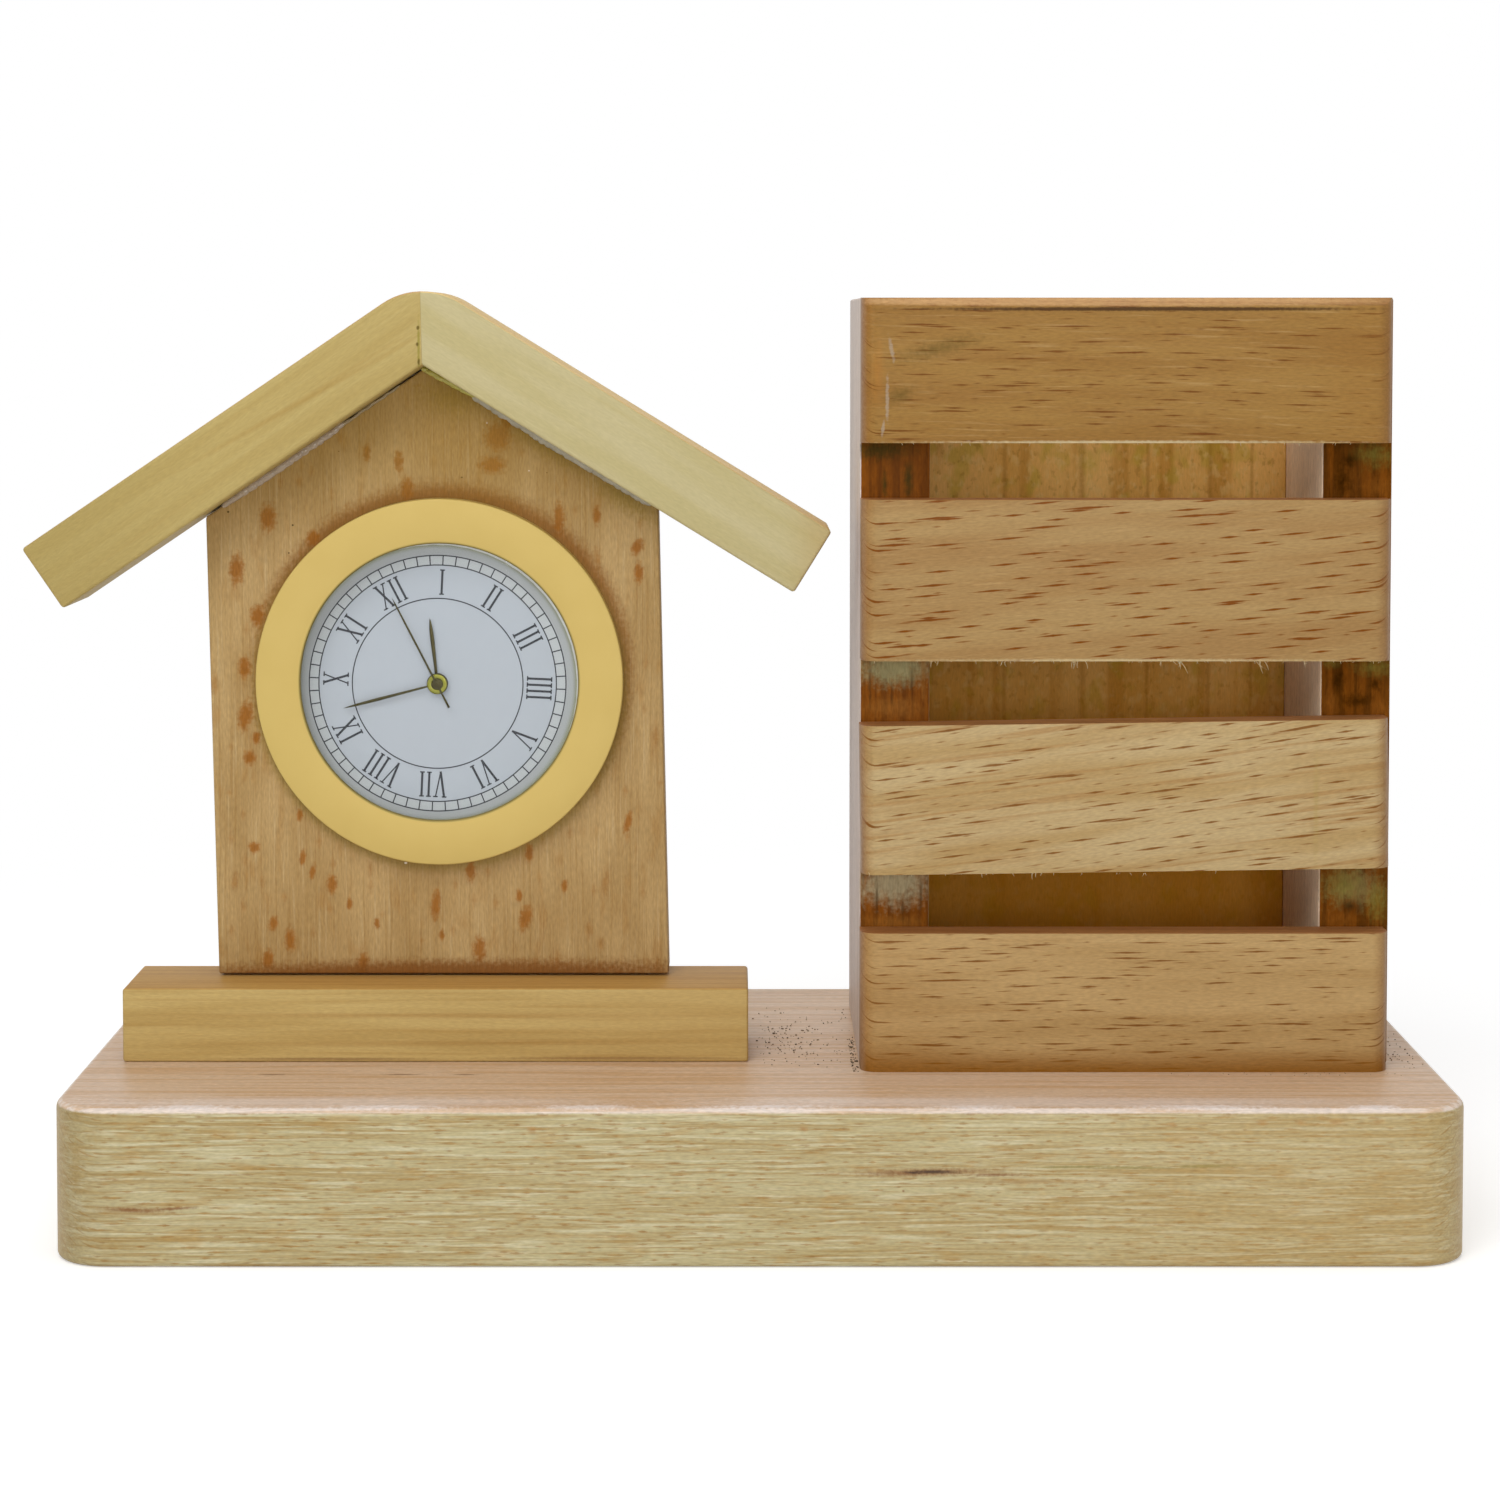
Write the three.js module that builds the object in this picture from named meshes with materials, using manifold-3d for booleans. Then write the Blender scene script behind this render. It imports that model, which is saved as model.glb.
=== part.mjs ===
// Pen holder with clock: a beech base plank that carries a small gabled clock stand and a slatted pen box.
// Millimetres, +Z up. The origin is the middle of the base's underside; X runs along the base, the front is -Y.

import * as THREE from 'three';
import { mergeVertices } from 'three/addons/utils/BufferGeometryUtils.js';
import Module from 'manifold-3d';

const wasm = await Module();
wasm.setup();

// Base plank, as long and deep as what stands on it and these margins
const baseHeight = 22.5;
const baseCornerRadius = 8;
const baseTopRound = 1.2;
const plinthMargin = 5.45;
const holderMargin = 6.8;
const frontMargin = 22;
const backMargin = 14;
const roofToHolder = 4.1;

// Clock stand: plinth strip, panel and roof, all measured from the stand's own middle
const standSetBackDepth = 6.4;
const stripDepth = 17.5;
const plinthWidth = 93;
const plinthHeight = 11;
const panelMargin = 6.5;
const panelThickness = 8;
const panelSetBackDepth = 9.6;
const shoulderRise = 26;
const standOffset = 0.45;
const standLean = 1.25;
const roofSlope = 32.9;
const roofThickness = 10.7;
const roofLength = 71.3;
const ridgeRadius = 10.5;
const glueThickness = 0.3;
const clockMargin = 16.5;
const clockOffset = 0.1;

// Pen holder
const holderWidth = 78.3;
const holderDepth = 46;
const slatThickness = 5.5;
const sideThickness = 10.3;
const backThickness = 10;
const bottomSlatHeight = 20.5;
const lowerSlatHeight = 21.9;
const upperSlatHeight = 23.6;
const topSlatHeight = 21.15;
const lowerGap = 9.1;
const middleGap = 9;
const upperGap = 8.25;
const lowerSlatTilt = 0.8;
const slatEndRound = 2.5;
const slatShort = 0.85;
const topBevel = 1.3;

// Clock insert, measured along its axis from the panel's front face, towards the back
const bezelSeat = 2.4;
const bezelProud = 3;
const bezelSheet = 0.8;
const bezelChamfer = 0.5;
const bezelAside = 0.6; // the ring was pressed on a little to the right of the dial, and above it
const bezelRise = 0.6;
const lensThickness = 1.2;
const lensLap = 1.45;
const spacerLength = 1.7;
const spacerWall = 1.1;
const dialThickness = 0.6;
const caseWall = 1;
const caseShoulder = 1.7;
const gripThickness = 1.5;
const gripRib = 0.5;
const gripRibs = 3;
const gripStart = 1;
const gripLength = 6;
const coverThickness = 1;
const fit = 0.1;
const looseFit = 0.2;
const cutBeyond = 1;
const roundSides = 48;
const smallSides = 12;

// Hands, with their angles clockwise from upright
const handThickness = 0.2;
const handGap = 0.25;
const hourHand = { length: 10, tail: 0, width: 0.55, boss: 1.6, angle: -5.2 };
const minuteHand = { length: 14.6, tail: 0, width: 0.42, boss: 1.55, angle: 256.7 };
const secondHand = { length: 14.8, tail: 4, width: 0.28, boss: 0.9, angle: -26 };

// Movement
const plateThickness = 1;
const bridgeThickness = 0.8;
const bridgeArm = 2.1;
const gearThickness = 0.4;
const gearGap = 0.3;
const pinionOverlap = 0.1;
const arborRadius = 0.4;
const secondsArbor = 0.25;
const tubeWall = 0.28;
const runningGap = 0.1;
const pivotShare = 0.75;
const trainModule = 0.267;
const motionModule = 0.33;
const teeth = {
  pinion: 6,
  intermediate: 36,
  seconds: 30,
  third: 45,
  centre: 48,
  cannon: 8,
  motion: 24,
  motionPinion: 8,
  hour: 32,
  setting: 8,
};
const intermediateAngle = 60;
const rotorAngle = 20;
const thirdAngle = 250;
const motionAngle = 300;
const magnetRadius = 1.6;
const magnetGap = 0.4;
const statorThickness = 0.8;
const statorRing = 1.2;
const statorArm = 1.2;
const coilRadius = 2;
const coilLength = 13;
const coilGap = 1.7;
const coilEndGap = 0.9;
const coreWidth = 1.8;
const coreThickness = 0.8;
const cellRadius = 5.8;
const cellThickness = 5.4;
const cellGap = 2;
const cellAngle = 152;
const movementMargin = 0.8;
const clipThickness = 0.25;
const clipWidth = 2.4;
const clipOffset = 0.5;
const boardThickness = 0.6;
const boardGap = 3.5;
const boardEdge = 3;
const crystalRadius = 1;
const crystalLength = 5.5;
const pillarRadius = 1.2;
const pillarStep = 3.4;
const pillarAngles = [110, 322, 191];
const screwHead = 1.1;
const screwShank = 0.5;
const screwSlot = 0.36;
const screwHeight = 0.6;
const knobRadius = 4;
const knobLength = 3;
const knobArbor = 0.6;

// Gears: teeth are straight-sided, with clearance at the tips and the flanks
const addendum = 0.85;
const dedendum = 1.15;
const wheelTooth = { root: 0.5, tip: 0.2 };
const pinionTooth = { root: 0.42, tip: 0.24 };

// Places in the movement, as [x, z] from the hands' axis
const degree = Math.PI / 180;
const polar = (distance, angle) => [
  distance * Math.cos(angle * degree),
  distance * Math.sin(angle * degree),
];
const shifted = ([x, z], [dx, dz]) => [x + dx, z + dz];
const meshDistance = (first, second, module) => ((first + second) * module) / 2;
const moduleFor = (first, second, distance) => (2 * distance) / (first + second);

const arborDistance = meshDistance(teeth.pinion, teeth.third, trainModule);
const secondsModule = moduleFor(teeth.pinion, teeth.seconds, arborDistance);
const centreModule = moduleFor(teeth.pinion, teeth.centre, arborDistance);
const motionDistance = meshDistance(teeth.cannon, teeth.motion, motionModule);
const hourModule = moduleFor(teeth.motionPinion, teeth.hour, motionDistance);
const centreAt = [0, 0];
const thirdAt = polar(arborDistance, thirdAngle);
const intermediateAt = polar(arborDistance, intermediateAngle);
const rotorStep = polar(meshDistance(teeth.pinion, teeth.intermediate, trainModule), rotorAngle);
const rotorAt = shifted(intermediateAt, rotorStep);
const motionAt = polar(motionDistance, motionAngle);
const settingStep = polar(meshDistance(teeth.motion, teeth.setting, motionModule), motionAngle);
const settingAt = shifted(motionAt, settingStep);
const pillars = pillarAngles.map((angle) => polar(arborDistance + pillarStep, angle));
const centreReach = (teeth.centre / 2 + addendum) * centreModule;
const cellDistance = centreReach + cellGap + cellRadius;
const cellAt = polar(cellDistance, cellAngle);
const ringReach = magnetRadius + magnetGap + statorRing;
const coilX = rotorAt[0] + ringReach + coilGap + coilRadius;
const coreEnd = coilLength / 2 + statorArm + coilEndGap;

// Radii of the case, from the movement outwards
const coilReach = Math.hypot(coilX + statorArm, coreEnd + statorArm);
const movementRadius = Math.max(cellDistance + cellRadius, coilReach) + movementMargin;
const caseRadius = movementRadius + caseShoulder + caseWall;
const cupInner = caseRadius - caseWall;
const lensRadius = cupInner - fit;
const bezelOpening = lensRadius - lensLap;
const gripRadius = caseRadius + fit + gripThickness;
const panelHole = gripRadius + looseFit;
const bezelRadius = panelHole + bezelSeat;
const flangeRadius = bezelRadius - bezelSheet - fit - Math.hypot(bezelAside, bezelRise);

// Stand and roof, from the clock outwards
const plinthTop = baseHeight + plinthHeight;
const panelWidth = 2 * (bezelRadius + panelMargin);
const clockHeight = bezelRadius + clockMargin;
const panelShoulder = clockHeight + shoulderRise;
const slope = roofSlope * degree;
const lean = standLean * degree;
const panelApex = panelShoulder + (panelWidth / 2) * Math.tan(slope);
const eaveRise = glueThickness / Math.cos(slope);
const ridgeHeight = panelApex + eaveRise + roofThickness / Math.cos(slope);
const roofEnd = [roofLength * Math.cos(slope), ridgeHeight - roofLength * Math.sin(slope)];
const roofReach = roofEnd[0] * Math.cos(lean) - roofEnd[1] * Math.sin(lean);

// Places on the base
const slatHeights = [bottomSlatHeight, lowerSlatHeight, upperSlatHeight, topSlatHeight];
const slatGaps = [lowerGap, middleGap, upperGap];
const slatTilts = [0, lowerSlatTilt, 0, 0];
const holderHeight = [...slatHeights, ...slatGaps].reduce((sum, part) => sum + part, 0);
const standToHolder = Math.max(roofReach, plinthWidth / 2 - standOffset) + roofToHolder;
const baseToStand = plinthMargin + plinthWidth / 2 + standOffset;
const baseWidth = baseToStand + standToHolder + holderWidth + holderMargin;
const baseDepth = frontMargin + holderDepth + backMargin;
const standX = -baseWidth / 2 + baseToStand;
const holderX = standX + standToHolder + holderWidth / 2;
const holderFrontY = -baseDepth / 2 + frontMargin;
const plinthFrontY = holderFrontY + standSetBackDepth;
const panelFrontY = plinthFrontY + panelSetBackDepth;

// Depths along the clock's axis
const lensFront = -bezelProud + bezelSheet + fit;
const lensBack = lensFront + lensThickness;
const spacerFront = lensBack + fit;
const spacerBack = spacerFront + spacerLength;
const dialFront = spacerBack + fit;
const dialBack = dialFront + dialThickness;
const hourHandBack = dialFront - handGap;
const minuteHandBack = hourHandBack - handThickness - handGap;
const secondHandBack = minuteHandBack - handThickness - handGap;

const hourWheelY = dialBack + gearGap;
const motionWheelY = hourWheelY + gearThickness + gearGap;
const plateY = motionWheelY + gearThickness + gearGap;
const plateBack = plateY + plateThickness;
const centreWheelY = plateBack + gearGap;
const thirdWheelY = centreWheelY + gearThickness + gearGap;
const secondsWheelY = thirdWheelY + gearThickness + gearGap;
const intermediateWheelY = secondsWheelY + gearThickness + gearGap;
const bridgeY = intermediateWheelY + 2 * gearThickness + gearGap;
const bridgeBack = bridgeY + bridgeThickness;
const cellY = plateBack + clipThickness + 2 * fit;
const clipY = cellY + cellThickness + fit;
const coverY = Math.max(bridgeBack + screwHeight, clipY + clipThickness) + looseFit;
const coverBack = coverY + coverThickness;

const statorY = thirdWheelY;
const coreY = statorY + statorThickness + fit;
const coilY = Math.max(coreY + coreThickness / 2, plateBack + coilRadius + looseFit);

const secondsTubeInner = secondsArbor + runningGap;
const centreTube = secondsTubeInner + tubeWall;
const hourTubeInner = centreTube + runningGap;
const hourTube = hourTubeInner + tubeWall;

// Materials
const finish = (color, roughness, metalness = 0, extra = {}) =>
  new THREE.MeshStandardMaterial({ color, roughness, metalness, ...extra });
const beech = finish('#c9a679', 0.6);
const beechPale = finish('#d9cfae', 0.55);
const pine = finish('#dcc191', 0.6);
const gold = finish('#d0b66a', 0.35, 1);
const brass = finish('#b89a4a', 0.35, 1);
const darkBrass = finish('#5d5325', 0.4, 1);
const steel = finish('#b9bcc0', 0.35, 1);
const copper = finish('#b5683a', 0.45, 1);
const blackPlastic = finish('#1d1d1f', 0.55);
const whitePlastic = finish('#e4e4e0', 0.5);
const rubber = finish('#262626', 0.85);
const greenBoard = finish('#2f6b3c', 0.55);
const dialPaper = finish('#c3cad2', 0.7);
const clearLens = finish('#ffffff', 0.05, 0, { transparent: true, opacity: 0.25 });

// Solids: geometry in, one closed body out
function solidOf(geometry) {
  const bare = geometry.index ? geometry.toNonIndexed() : geometry.clone();
  bare.deleteAttribute('normal');
  bare.deleteAttribute('uv');
  const merged = mergeVertices(bare, 1e-4);
  return new wasm.Manifold(
    new wasm.Mesh({
      numProp: 3,
      vertProperties: new Float32Array(merged.attributes.position.array),
      triVerts: new Uint32Array(merged.index.array),
    }),
  );
}

function geometryOf(solid) {
  const mesh = solid.getMesh();
  const geometry = new THREE.BufferGeometry();
  geometry.setAttribute('position', new THREE.BufferAttribute(new Float32Array(mesh.vertProperties), 3));
  geometry.setIndex(new THREE.BufferAttribute(new Uint32Array(mesh.triVerts), 1));
  geometry.computeVertexNormals();
  return geometry;
}

const joined = (...geometries) =>
  geometryOf(geometries.map(solidOf).reduce((whole, piece) => whole.add(piece)));

const cut = (geometry, ...tools) =>
  geometryOf(tools.map(solidOf).reduce((whole, tool) => whole.subtract(tool), solidOf(geometry)));

// A box from its lowest to its highest corner
function block([x0, y0, z0], [x1, y1, z1]) {
  const geometry = new THREE.BoxGeometry(x1 - x0, y1 - y0, z1 - z0);
  return geometry.translate((x0 + x1) / 2, (y0 + y1) / 2, (z0 + z1) / 2);
}

// An outline in X and Z, extruded along Y
function slab(shape, front, back) {
  const geometry = new THREE.ExtrudeGeometry(shape, {
    depth: back - front,
    bevelEnabled: false,
    curveSegments: 6,
  });
  return geometry.rotateX(Math.PI / 2).translate(0, back, 0);
}

// An outline in X and Y, extruded upwards
function prism(shape, bottom, top) {
  const geometry = new THREE.ExtrudeGeometry(shape, {
    depth: top - bottom,
    bevelEnabled: false,
    curveSegments: 4,
  });
  return geometry.translate(0, 0, bottom);
}

// A round bar along the clock's axis
function bar([x, z], radius, front, back, sides = smallSides) {
  const geometry = new THREE.CylinderGeometry(radius, radius, back - front, sides);
  return geometry.translate(x, (front + back) / 2, z);
}

// A turned ring or cup round the clock's axis, from points of [radius, y] that close on themselves
function turned(points, sides = roundSides) {
  const outline = points.map(([radius, y]) => new THREE.Vector2(radius, y));
  const ordered = THREE.ShapeUtils.isClockWise(outline) ? outline.reverse() : outline;
  return new THREE.LatheGeometry([...ordered, ordered[0].clone()], sides);
}

function polygon(points) {
  return new THREE.Shape(points.map(([x, y]) => new THREE.Vector2(x, y)));
}

// A round hole through everything between two depths
const bore = (at, radius, front, back, sides = smallSides) =>
  bar(at, radius, front - cutBeyond, back + cutBeyond, sides);

// A bar with round ends between two places, seen along the clock's axis
function armBetween([x0, z0], [x1, z1], radius, front, back) {
  const length = Math.hypot(x1 - x0, z1 - z0);
  const shape = new THREE.Shape();
  shape.absarc(0, 0, radius, Math.PI / 2, (3 * Math.PI) / 2);
  shape.absarc(length, 0, radius, -Math.PI / 2, Math.PI / 2);
  const geometry = slab(shape, front, back);
  return geometry.rotateY(-Math.atan2(z1 - z0, x1 - x0)).translate(x0, 0, z0);
}

// Wood
function basePlank() {
  const x = baseWidth / 2 - baseTopRound;
  const y = baseDepth / 2 - baseTopRound;
  const corner = Math.max(baseCornerRadius - baseTopRound, baseTopRound / 2);
  const shape = new THREE.Shape();
  shape.absarc(x - corner, -y + corner, corner, -Math.PI / 2, 0);
  shape.absarc(x - corner, y - corner, corner, 0, Math.PI / 2);
  shape.absarc(-x + corner, y - corner, corner, Math.PI / 2, Math.PI);
  shape.absarc(-x + corner, -y + corner, corner, Math.PI, 1.5 * Math.PI);
  const rounded = new THREE.ExtrudeGeometry(shape, {
    depth: baseHeight,
    bevelThickness: baseTopRound,
    bevelSize: baseTopRound,
    bevelSegments: 4,
    curveSegments: 6,
  }).translate(0, 0, -baseTopRound);
  const below = block([-baseWidth, -baseDepth, -baseHeight], [baseWidth, baseDepth, 0]);
  return cut(rounded, below);
}

function plinth() {
  const left = standX - standOffset - plinthWidth / 2;
  return block(
    [left, plinthFrontY, baseHeight],
    [left + plinthWidth, plinthFrontY + stripDepth, plinthTop],
  );
}

// The panel leans with the roof and the clock, and its foot is cut level to stand on the plinth
function clockPanel() {
  const half = panelWidth / 2;
  const foot = half * Math.tan(lean);
  const shape = polygon([
    [-half, foot],
    [half, -foot],
    [half, panelShoulder],
    [0, panelApex],
    [-half, panelShoulder],
  ]);
  const board = slab(shape, 0, panelThickness);
  return cut(board, bore([clockOffset, clockHeight], panelHole, 0, panelThickness, roundSides));
}

// side is -1 for the left slat and 1 for the right one
function roofSlat(side) {
  const seam = side * (glueThickness / 2);
  const inner = [seam, panelApex + eaveRise - Math.abs(seam) * Math.tan(slope)];
  const outerEnd = [side * roofEnd[0], roofEnd[1]];
  const innerEnd = [
    outerEnd[0] - side * roofThickness * Math.sin(slope),
    outerEnd[1] - roofThickness * Math.cos(slope),
  ];
  const arcCentre = ridgeHeight - ridgeRadius / Math.cos(slope);
  const shape = new THREE.Shape();
  shape.moveTo(...inner);
  shape.lineTo(...innerEnd);
  shape.lineTo(...outerEnd);
  const steps = 6;
  const seamAngle = Math.asin(Math.abs(seam) / ridgeRadius);
  for (let step = 0; step <= steps; step += 1) {
    const angle = slope + ((seamAngle - slope) * step) / steps;
    const x = side * ridgeRadius * Math.sin(angle);
    shape.lineTo(x, arcCentre + ridgeRadius * Math.cos(angle));
  }
  return slab(shape, -panelSetBackDepth, -panelSetBackDepth + stripDepth);
}

function holderSide(side) {
  const outer = holderX + (side * holderWidth) / 2;
  const inner = outer - side * sideThickness;
  return block(
    [Math.min(outer, inner), holderFrontY + slatThickness, baseHeight],
    [Math.max(outer, inner), holderFrontY + holderDepth, baseHeight + holderHeight],
  );
}

function holderBack() {
  const half = holderWidth / 2 - sideThickness;
  return block(
    [holderX - half, holderFrontY + holderDepth - backThickness, baseHeight],
    [holderX + half, holderFrontY + holderDepth, baseHeight + holderHeight],
  );
}

// One front slat about the middle of the holder, a little short at its right end, with its front ends rounded;
// the top one has a bevel along its upper arris
function holderSlat(height, bevelled) {
  const half = holderWidth / 2;
  const right = half - slatShort;
  const round = Math.min(slatEndRound, slatThickness / 2);
  const shape = new THREE.Shape();
  shape.moveTo(right, slatThickness);
  shape.lineTo(-half, slatThickness);
  shape.absarc(-half + round, round, round, Math.PI, 1.5 * Math.PI);
  shape.absarc(right - round, round, round, 1.5 * Math.PI, 2 * Math.PI);
  const slat = prism(shape, -height / 2, height / 2);
  if (!bevelled) {
    return slat;
  }
  const wedge = polygon([
    [-topBevel, height / 2 + topBevel],
    [-topBevel, height / 2 - 2 * topBevel],
    [2 * topBevel, height / 2 + topBevel],
  ]);
  const cutter = new THREE.ExtrudeGeometry(wedge, {
    depth: holderWidth + 2 * cutBeyond,
    bevelEnabled: false,
  });
  const across = new THREE.Matrix4().makeBasis(
    new THREE.Vector3(0, 1, 0),
    new THREE.Vector3(0, 0, 1),
    new THREE.Vector3(1, 0, 0),
  );
  cutter.applyMatrix4(across).translate(-half - cutBeyond, 0, 0);
  return cut(slat, cutter);
}

// Clock insert: case and glass
function bezel() {
  return turned([
    [bezelOpening, -bezelProud + bezelSheet],
    [bezelOpening, -bezelProud + bezelChamfer / 2],
    [bezelOpening + bezelChamfer / 2, -bezelProud],
    [bezelRadius - bezelChamfer, -bezelProud],
    [bezelRadius, -bezelProud + bezelChamfer],
    [bezelRadius, -fit],
    [bezelRadius - bezelSheet, -fit],
    [bezelRadius - bezelSheet, -bezelProud + bezelSheet],
  ]);
}

function lens() {
  return bar(centreAt, lensRadius, lensFront, lensBack, roundSides);
}

function dialSpacer() {
  const inner = cupInner - fit - spacerWall;
  return turned([
    [inner, spacerFront],
    [cupInner - fit, spacerFront],
    [cupInner - fit, spacerBack],
    [inner, spacerBack],
  ]);
}

function dial() {
  const plate = bar(centreAt, cupInner - fit, dialFront, dialBack, roundSides);
  return cut(plate, bore(centreAt, hourTube + runningGap, dialFront, dialBack, 24));
}

function clockCase() {
  const seat = dialBack + fit;
  return turned([
    [cupInner, lensFront],
    [flangeRadius, lensFront],
    [flangeRadius, -fit],
    [caseRadius, -fit],
    [caseRadius, coverBack],
    [movementRadius, coverBack],
    [movementRadius, seat],
    [cupInner, seat],
  ]);
}

function gripRing() {
  const inner = caseRadius + fit;
  const pitch = gripLength / gripRibs;
  const points = [[inner, gripStart + gripLength], [inner, gripStart]];
  for (let rib = 0; rib < gripRibs; rib += 1) {
    const start = gripStart + rib * pitch;
    points.push([gripRadius - gripRib, start]);
    points.push([gripRadius, start + pitch / 2]);
  }
  points.push([gripRadius - gripRib, gripStart + gripLength]);
  return turned(points, 36);
}

function backCover() {
  const disc = bar(centreAt, movementRadius - fit, coverY, coverBack, roundSides);
  return cut(disc, bore(settingAt, knobArbor + looseFit, coverY, coverBack, 24));
}

// A hand along +Z about its own middle: boss, tapering blade and tail, with a hole for its tube
function clockHand({ length, tail, width, boss, angle }, back, tube) {
  const front = back - handThickness;
  const half = width / 2;
  const neck = half * 0.75;
  const shoulder = length * 0.75;
  const blade = polygon([
    [-neck, -tail],
    [neck, -tail],
    [neck, 0],
    [half, shoulder],
    [0, length],
    [-half, shoulder],
    [-neck, 0],
  ]);
  const hand = joined(slab(blade, front, back), bar(centreAt, boss, front, back, 24));
  const drilled = cut(hand, bore(centreAt, tube + runningGap / 4, front, back));
  return drilled.rotateY(angle * degree);
}

function gearShape(count, module, turn, form) {
  const pitchRadius = (count * module) / 2;
  const outer = pitchRadius + addendum * module;
  const inner = pitchRadius - dedendum * module;
  const step = (2 * Math.PI) / count;
  const points = [];
  for (let tooth = 0; tooth < count; tooth += 1) {
    const middle = turn + tooth * step;
    const corners = [
      [inner, -form.root],
      [outer, -form.tip],
      [outer, form.tip],
      [inner, form.root],
    ];
    for (const [radius, share] of corners) {
      const angle = middle + (share * step) / 2;
      points.push([radius * Math.cos(angle), radius * Math.sin(angle)]);
    }
  }
  return polygon(points);
}

function gear([x, z], count, module, turn, front, back) {
  const form = count > 16 ? wheelTooth : pinionTooth;
  return slab(gearShape(count, module, turn, form), front, back).translate(x, 0, z);
}

// The turn that puts a gear in mesh with another that already has its own
function meshTurn(firstAt, firstTeeth, firstTurn, secondAt, secondTeeth) {
  const line = Math.atan2(secondAt[1] - firstAt[1], secondAt[0] - firstAt[0]);
  const past = firstTurn - line;
  return line + Math.PI + Math.PI / secondTeeth - (past * firstTeeth) / secondTeeth;
}

const pinionFront = (wheelY) => wheelY - pinionOverlap;
const pinionBack = (wheelY) => wheelY + gearThickness + pinionOverlap;
const pivotFront = plateBack - plateThickness * pivotShare;
const pivotBack = bridgeY + bridgeThickness * pivotShare;

function rotor() {
  return joined(
    bar(rotorAt, magnetRadius, centreWheelY, secondsWheelY + gearThickness - pinionOverlap, 18),
    gear(rotorAt, teeth.pinion, trainModule, 0, secondsWheelY, pinionBack(intermediateWheelY)),
    bar(rotorAt, arborRadius, pivotFront, pivotBack),
  );
}

function intermediateWheel() {
  const turn = meshTurn(rotorAt, teeth.pinion, 0, intermediateAt, teeth.intermediate);
  const wheelBack = intermediateWheelY + gearThickness;
  return joined(
    gear(intermediateAt, teeth.intermediate, trainModule, turn, intermediateWheelY, wheelBack),
    gear(intermediateAt, teeth.pinion, secondsModule, 0, pinionFront(secondsWheelY), wheelBack),
    bar(intermediateAt, arborRadius, pivotFront, pivotBack),
  );
}

function secondsWheel() {
  const turn = meshTurn(intermediateAt, teeth.pinion, 0, centreAt, teeth.seconds);
  const wheelBack = secondsWheelY + gearThickness;
  return joined(
    gear(centreAt, teeth.seconds, secondsModule, turn, secondsWheelY, wheelBack),
    gear(centreAt, teeth.pinion, trainModule, 0, pinionFront(thirdWheelY), wheelBack),
    bar(centreAt, secondsArbor, secondHandBack - handThickness, wheelBack),
    bar(centreAt, arborRadius, secondsWheelY, pivotBack),
  );
}

function thirdWheel() {
  const turn = meshTurn(centreAt, teeth.pinion, 0, thirdAt, teeth.third);
  const wheelBack = thirdWheelY + gearThickness;
  return joined(
    gear(thirdAt, teeth.third, trainModule, turn, thirdWheelY, wheelBack),
    gear(thirdAt, teeth.pinion, centreModule, 0, pinionFront(centreWheelY), wheelBack),
    bar(thirdAt, arborRadius, pivotFront, pivotBack),
  );
}

function centreWheel() {
  const turn = meshTurn(thirdAt, teeth.pinion, 0, centreAt, teeth.centre);
  const wheelBack = centreWheelY + gearThickness;
  const whole = joined(
    gear(centreAt, teeth.centre, centreModule, turn, centreWheelY, wheelBack),
    gear(centreAt, teeth.cannon, motionModule, 0, pinionFront(motionWheelY), pinionBack(motionWheelY)),
    bar(centreAt, centreTube, minuteHandBack - handThickness, wheelBack),
  );
  return cut(whole, bore(centreAt, secondsTubeInner, minuteHandBack, wheelBack));
}

function motionWheel() {
  const turn = meshTurn(centreAt, teeth.cannon, 0, motionAt, teeth.motion);
  const wheelBack = motionWheelY + gearThickness;
  return joined(
    gear(motionAt, teeth.motion, motionModule, turn, motionWheelY, wheelBack),
    gear(motionAt, teeth.motionPinion, hourModule, 0, pinionFront(hourWheelY), wheelBack),
    bar(motionAt, arborRadius, pinionFront(hourWheelY), plateY + plateThickness * pivotShare),
  );
}

function hourWheel() {
  const turn = meshTurn(motionAt, teeth.motionPinion, 0, centreAt, teeth.hour);
  const wheelBack = hourWheelY + gearThickness;
  const whole = joined(
    gear(centreAt, teeth.hour, hourModule, turn, hourWheelY, wheelBack),
    bar(centreAt, hourTube, hourHandBack - handThickness, wheelBack),
  );
  return cut(whole, bore(centreAt, hourTubeInner, hourHandBack, wheelBack));
}

function settingKnob() {
  const motionTurn = meshTurn(centreAt, teeth.cannon, 0, motionAt, teeth.motion);
  const turn = meshTurn(motionAt, teeth.motion, motionTurn, settingAt, teeth.setting);
  const knobFront = coverBack + looseFit;
  const grooves = 18;
  const rim = new THREE.Shape();
  for (let step = 0; step < 2 * grooves; step += 1) {
    const angle = (step * Math.PI) / grooves;
    const radius = step % 2 ? knobRadius : knobRadius * 0.93;
    const at = [radius * Math.cos(angle), radius * Math.sin(angle)];
    if (step === 0) {
      rim.moveTo(...at);
    } else {
      rim.lineTo(...at);
    }
  }
  const [x, z] = settingAt;
  return joined(
    gear(settingAt, teeth.setting, motionModule, turn, pinionFront(motionWheelY), pinionBack(motionWheelY)),
    bar(settingAt, knobArbor, pinionFront(motionWheelY), knobFront + knobLength / 2),
    slab(rim, knobFront, knobFront + knobLength).translate(x, 0, z),
  );
}

// Fixed parts of the movement
const pivotHole = (at, front, back, radius = arborRadius) => bore(at, radius + runningGap, front, back);

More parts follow.
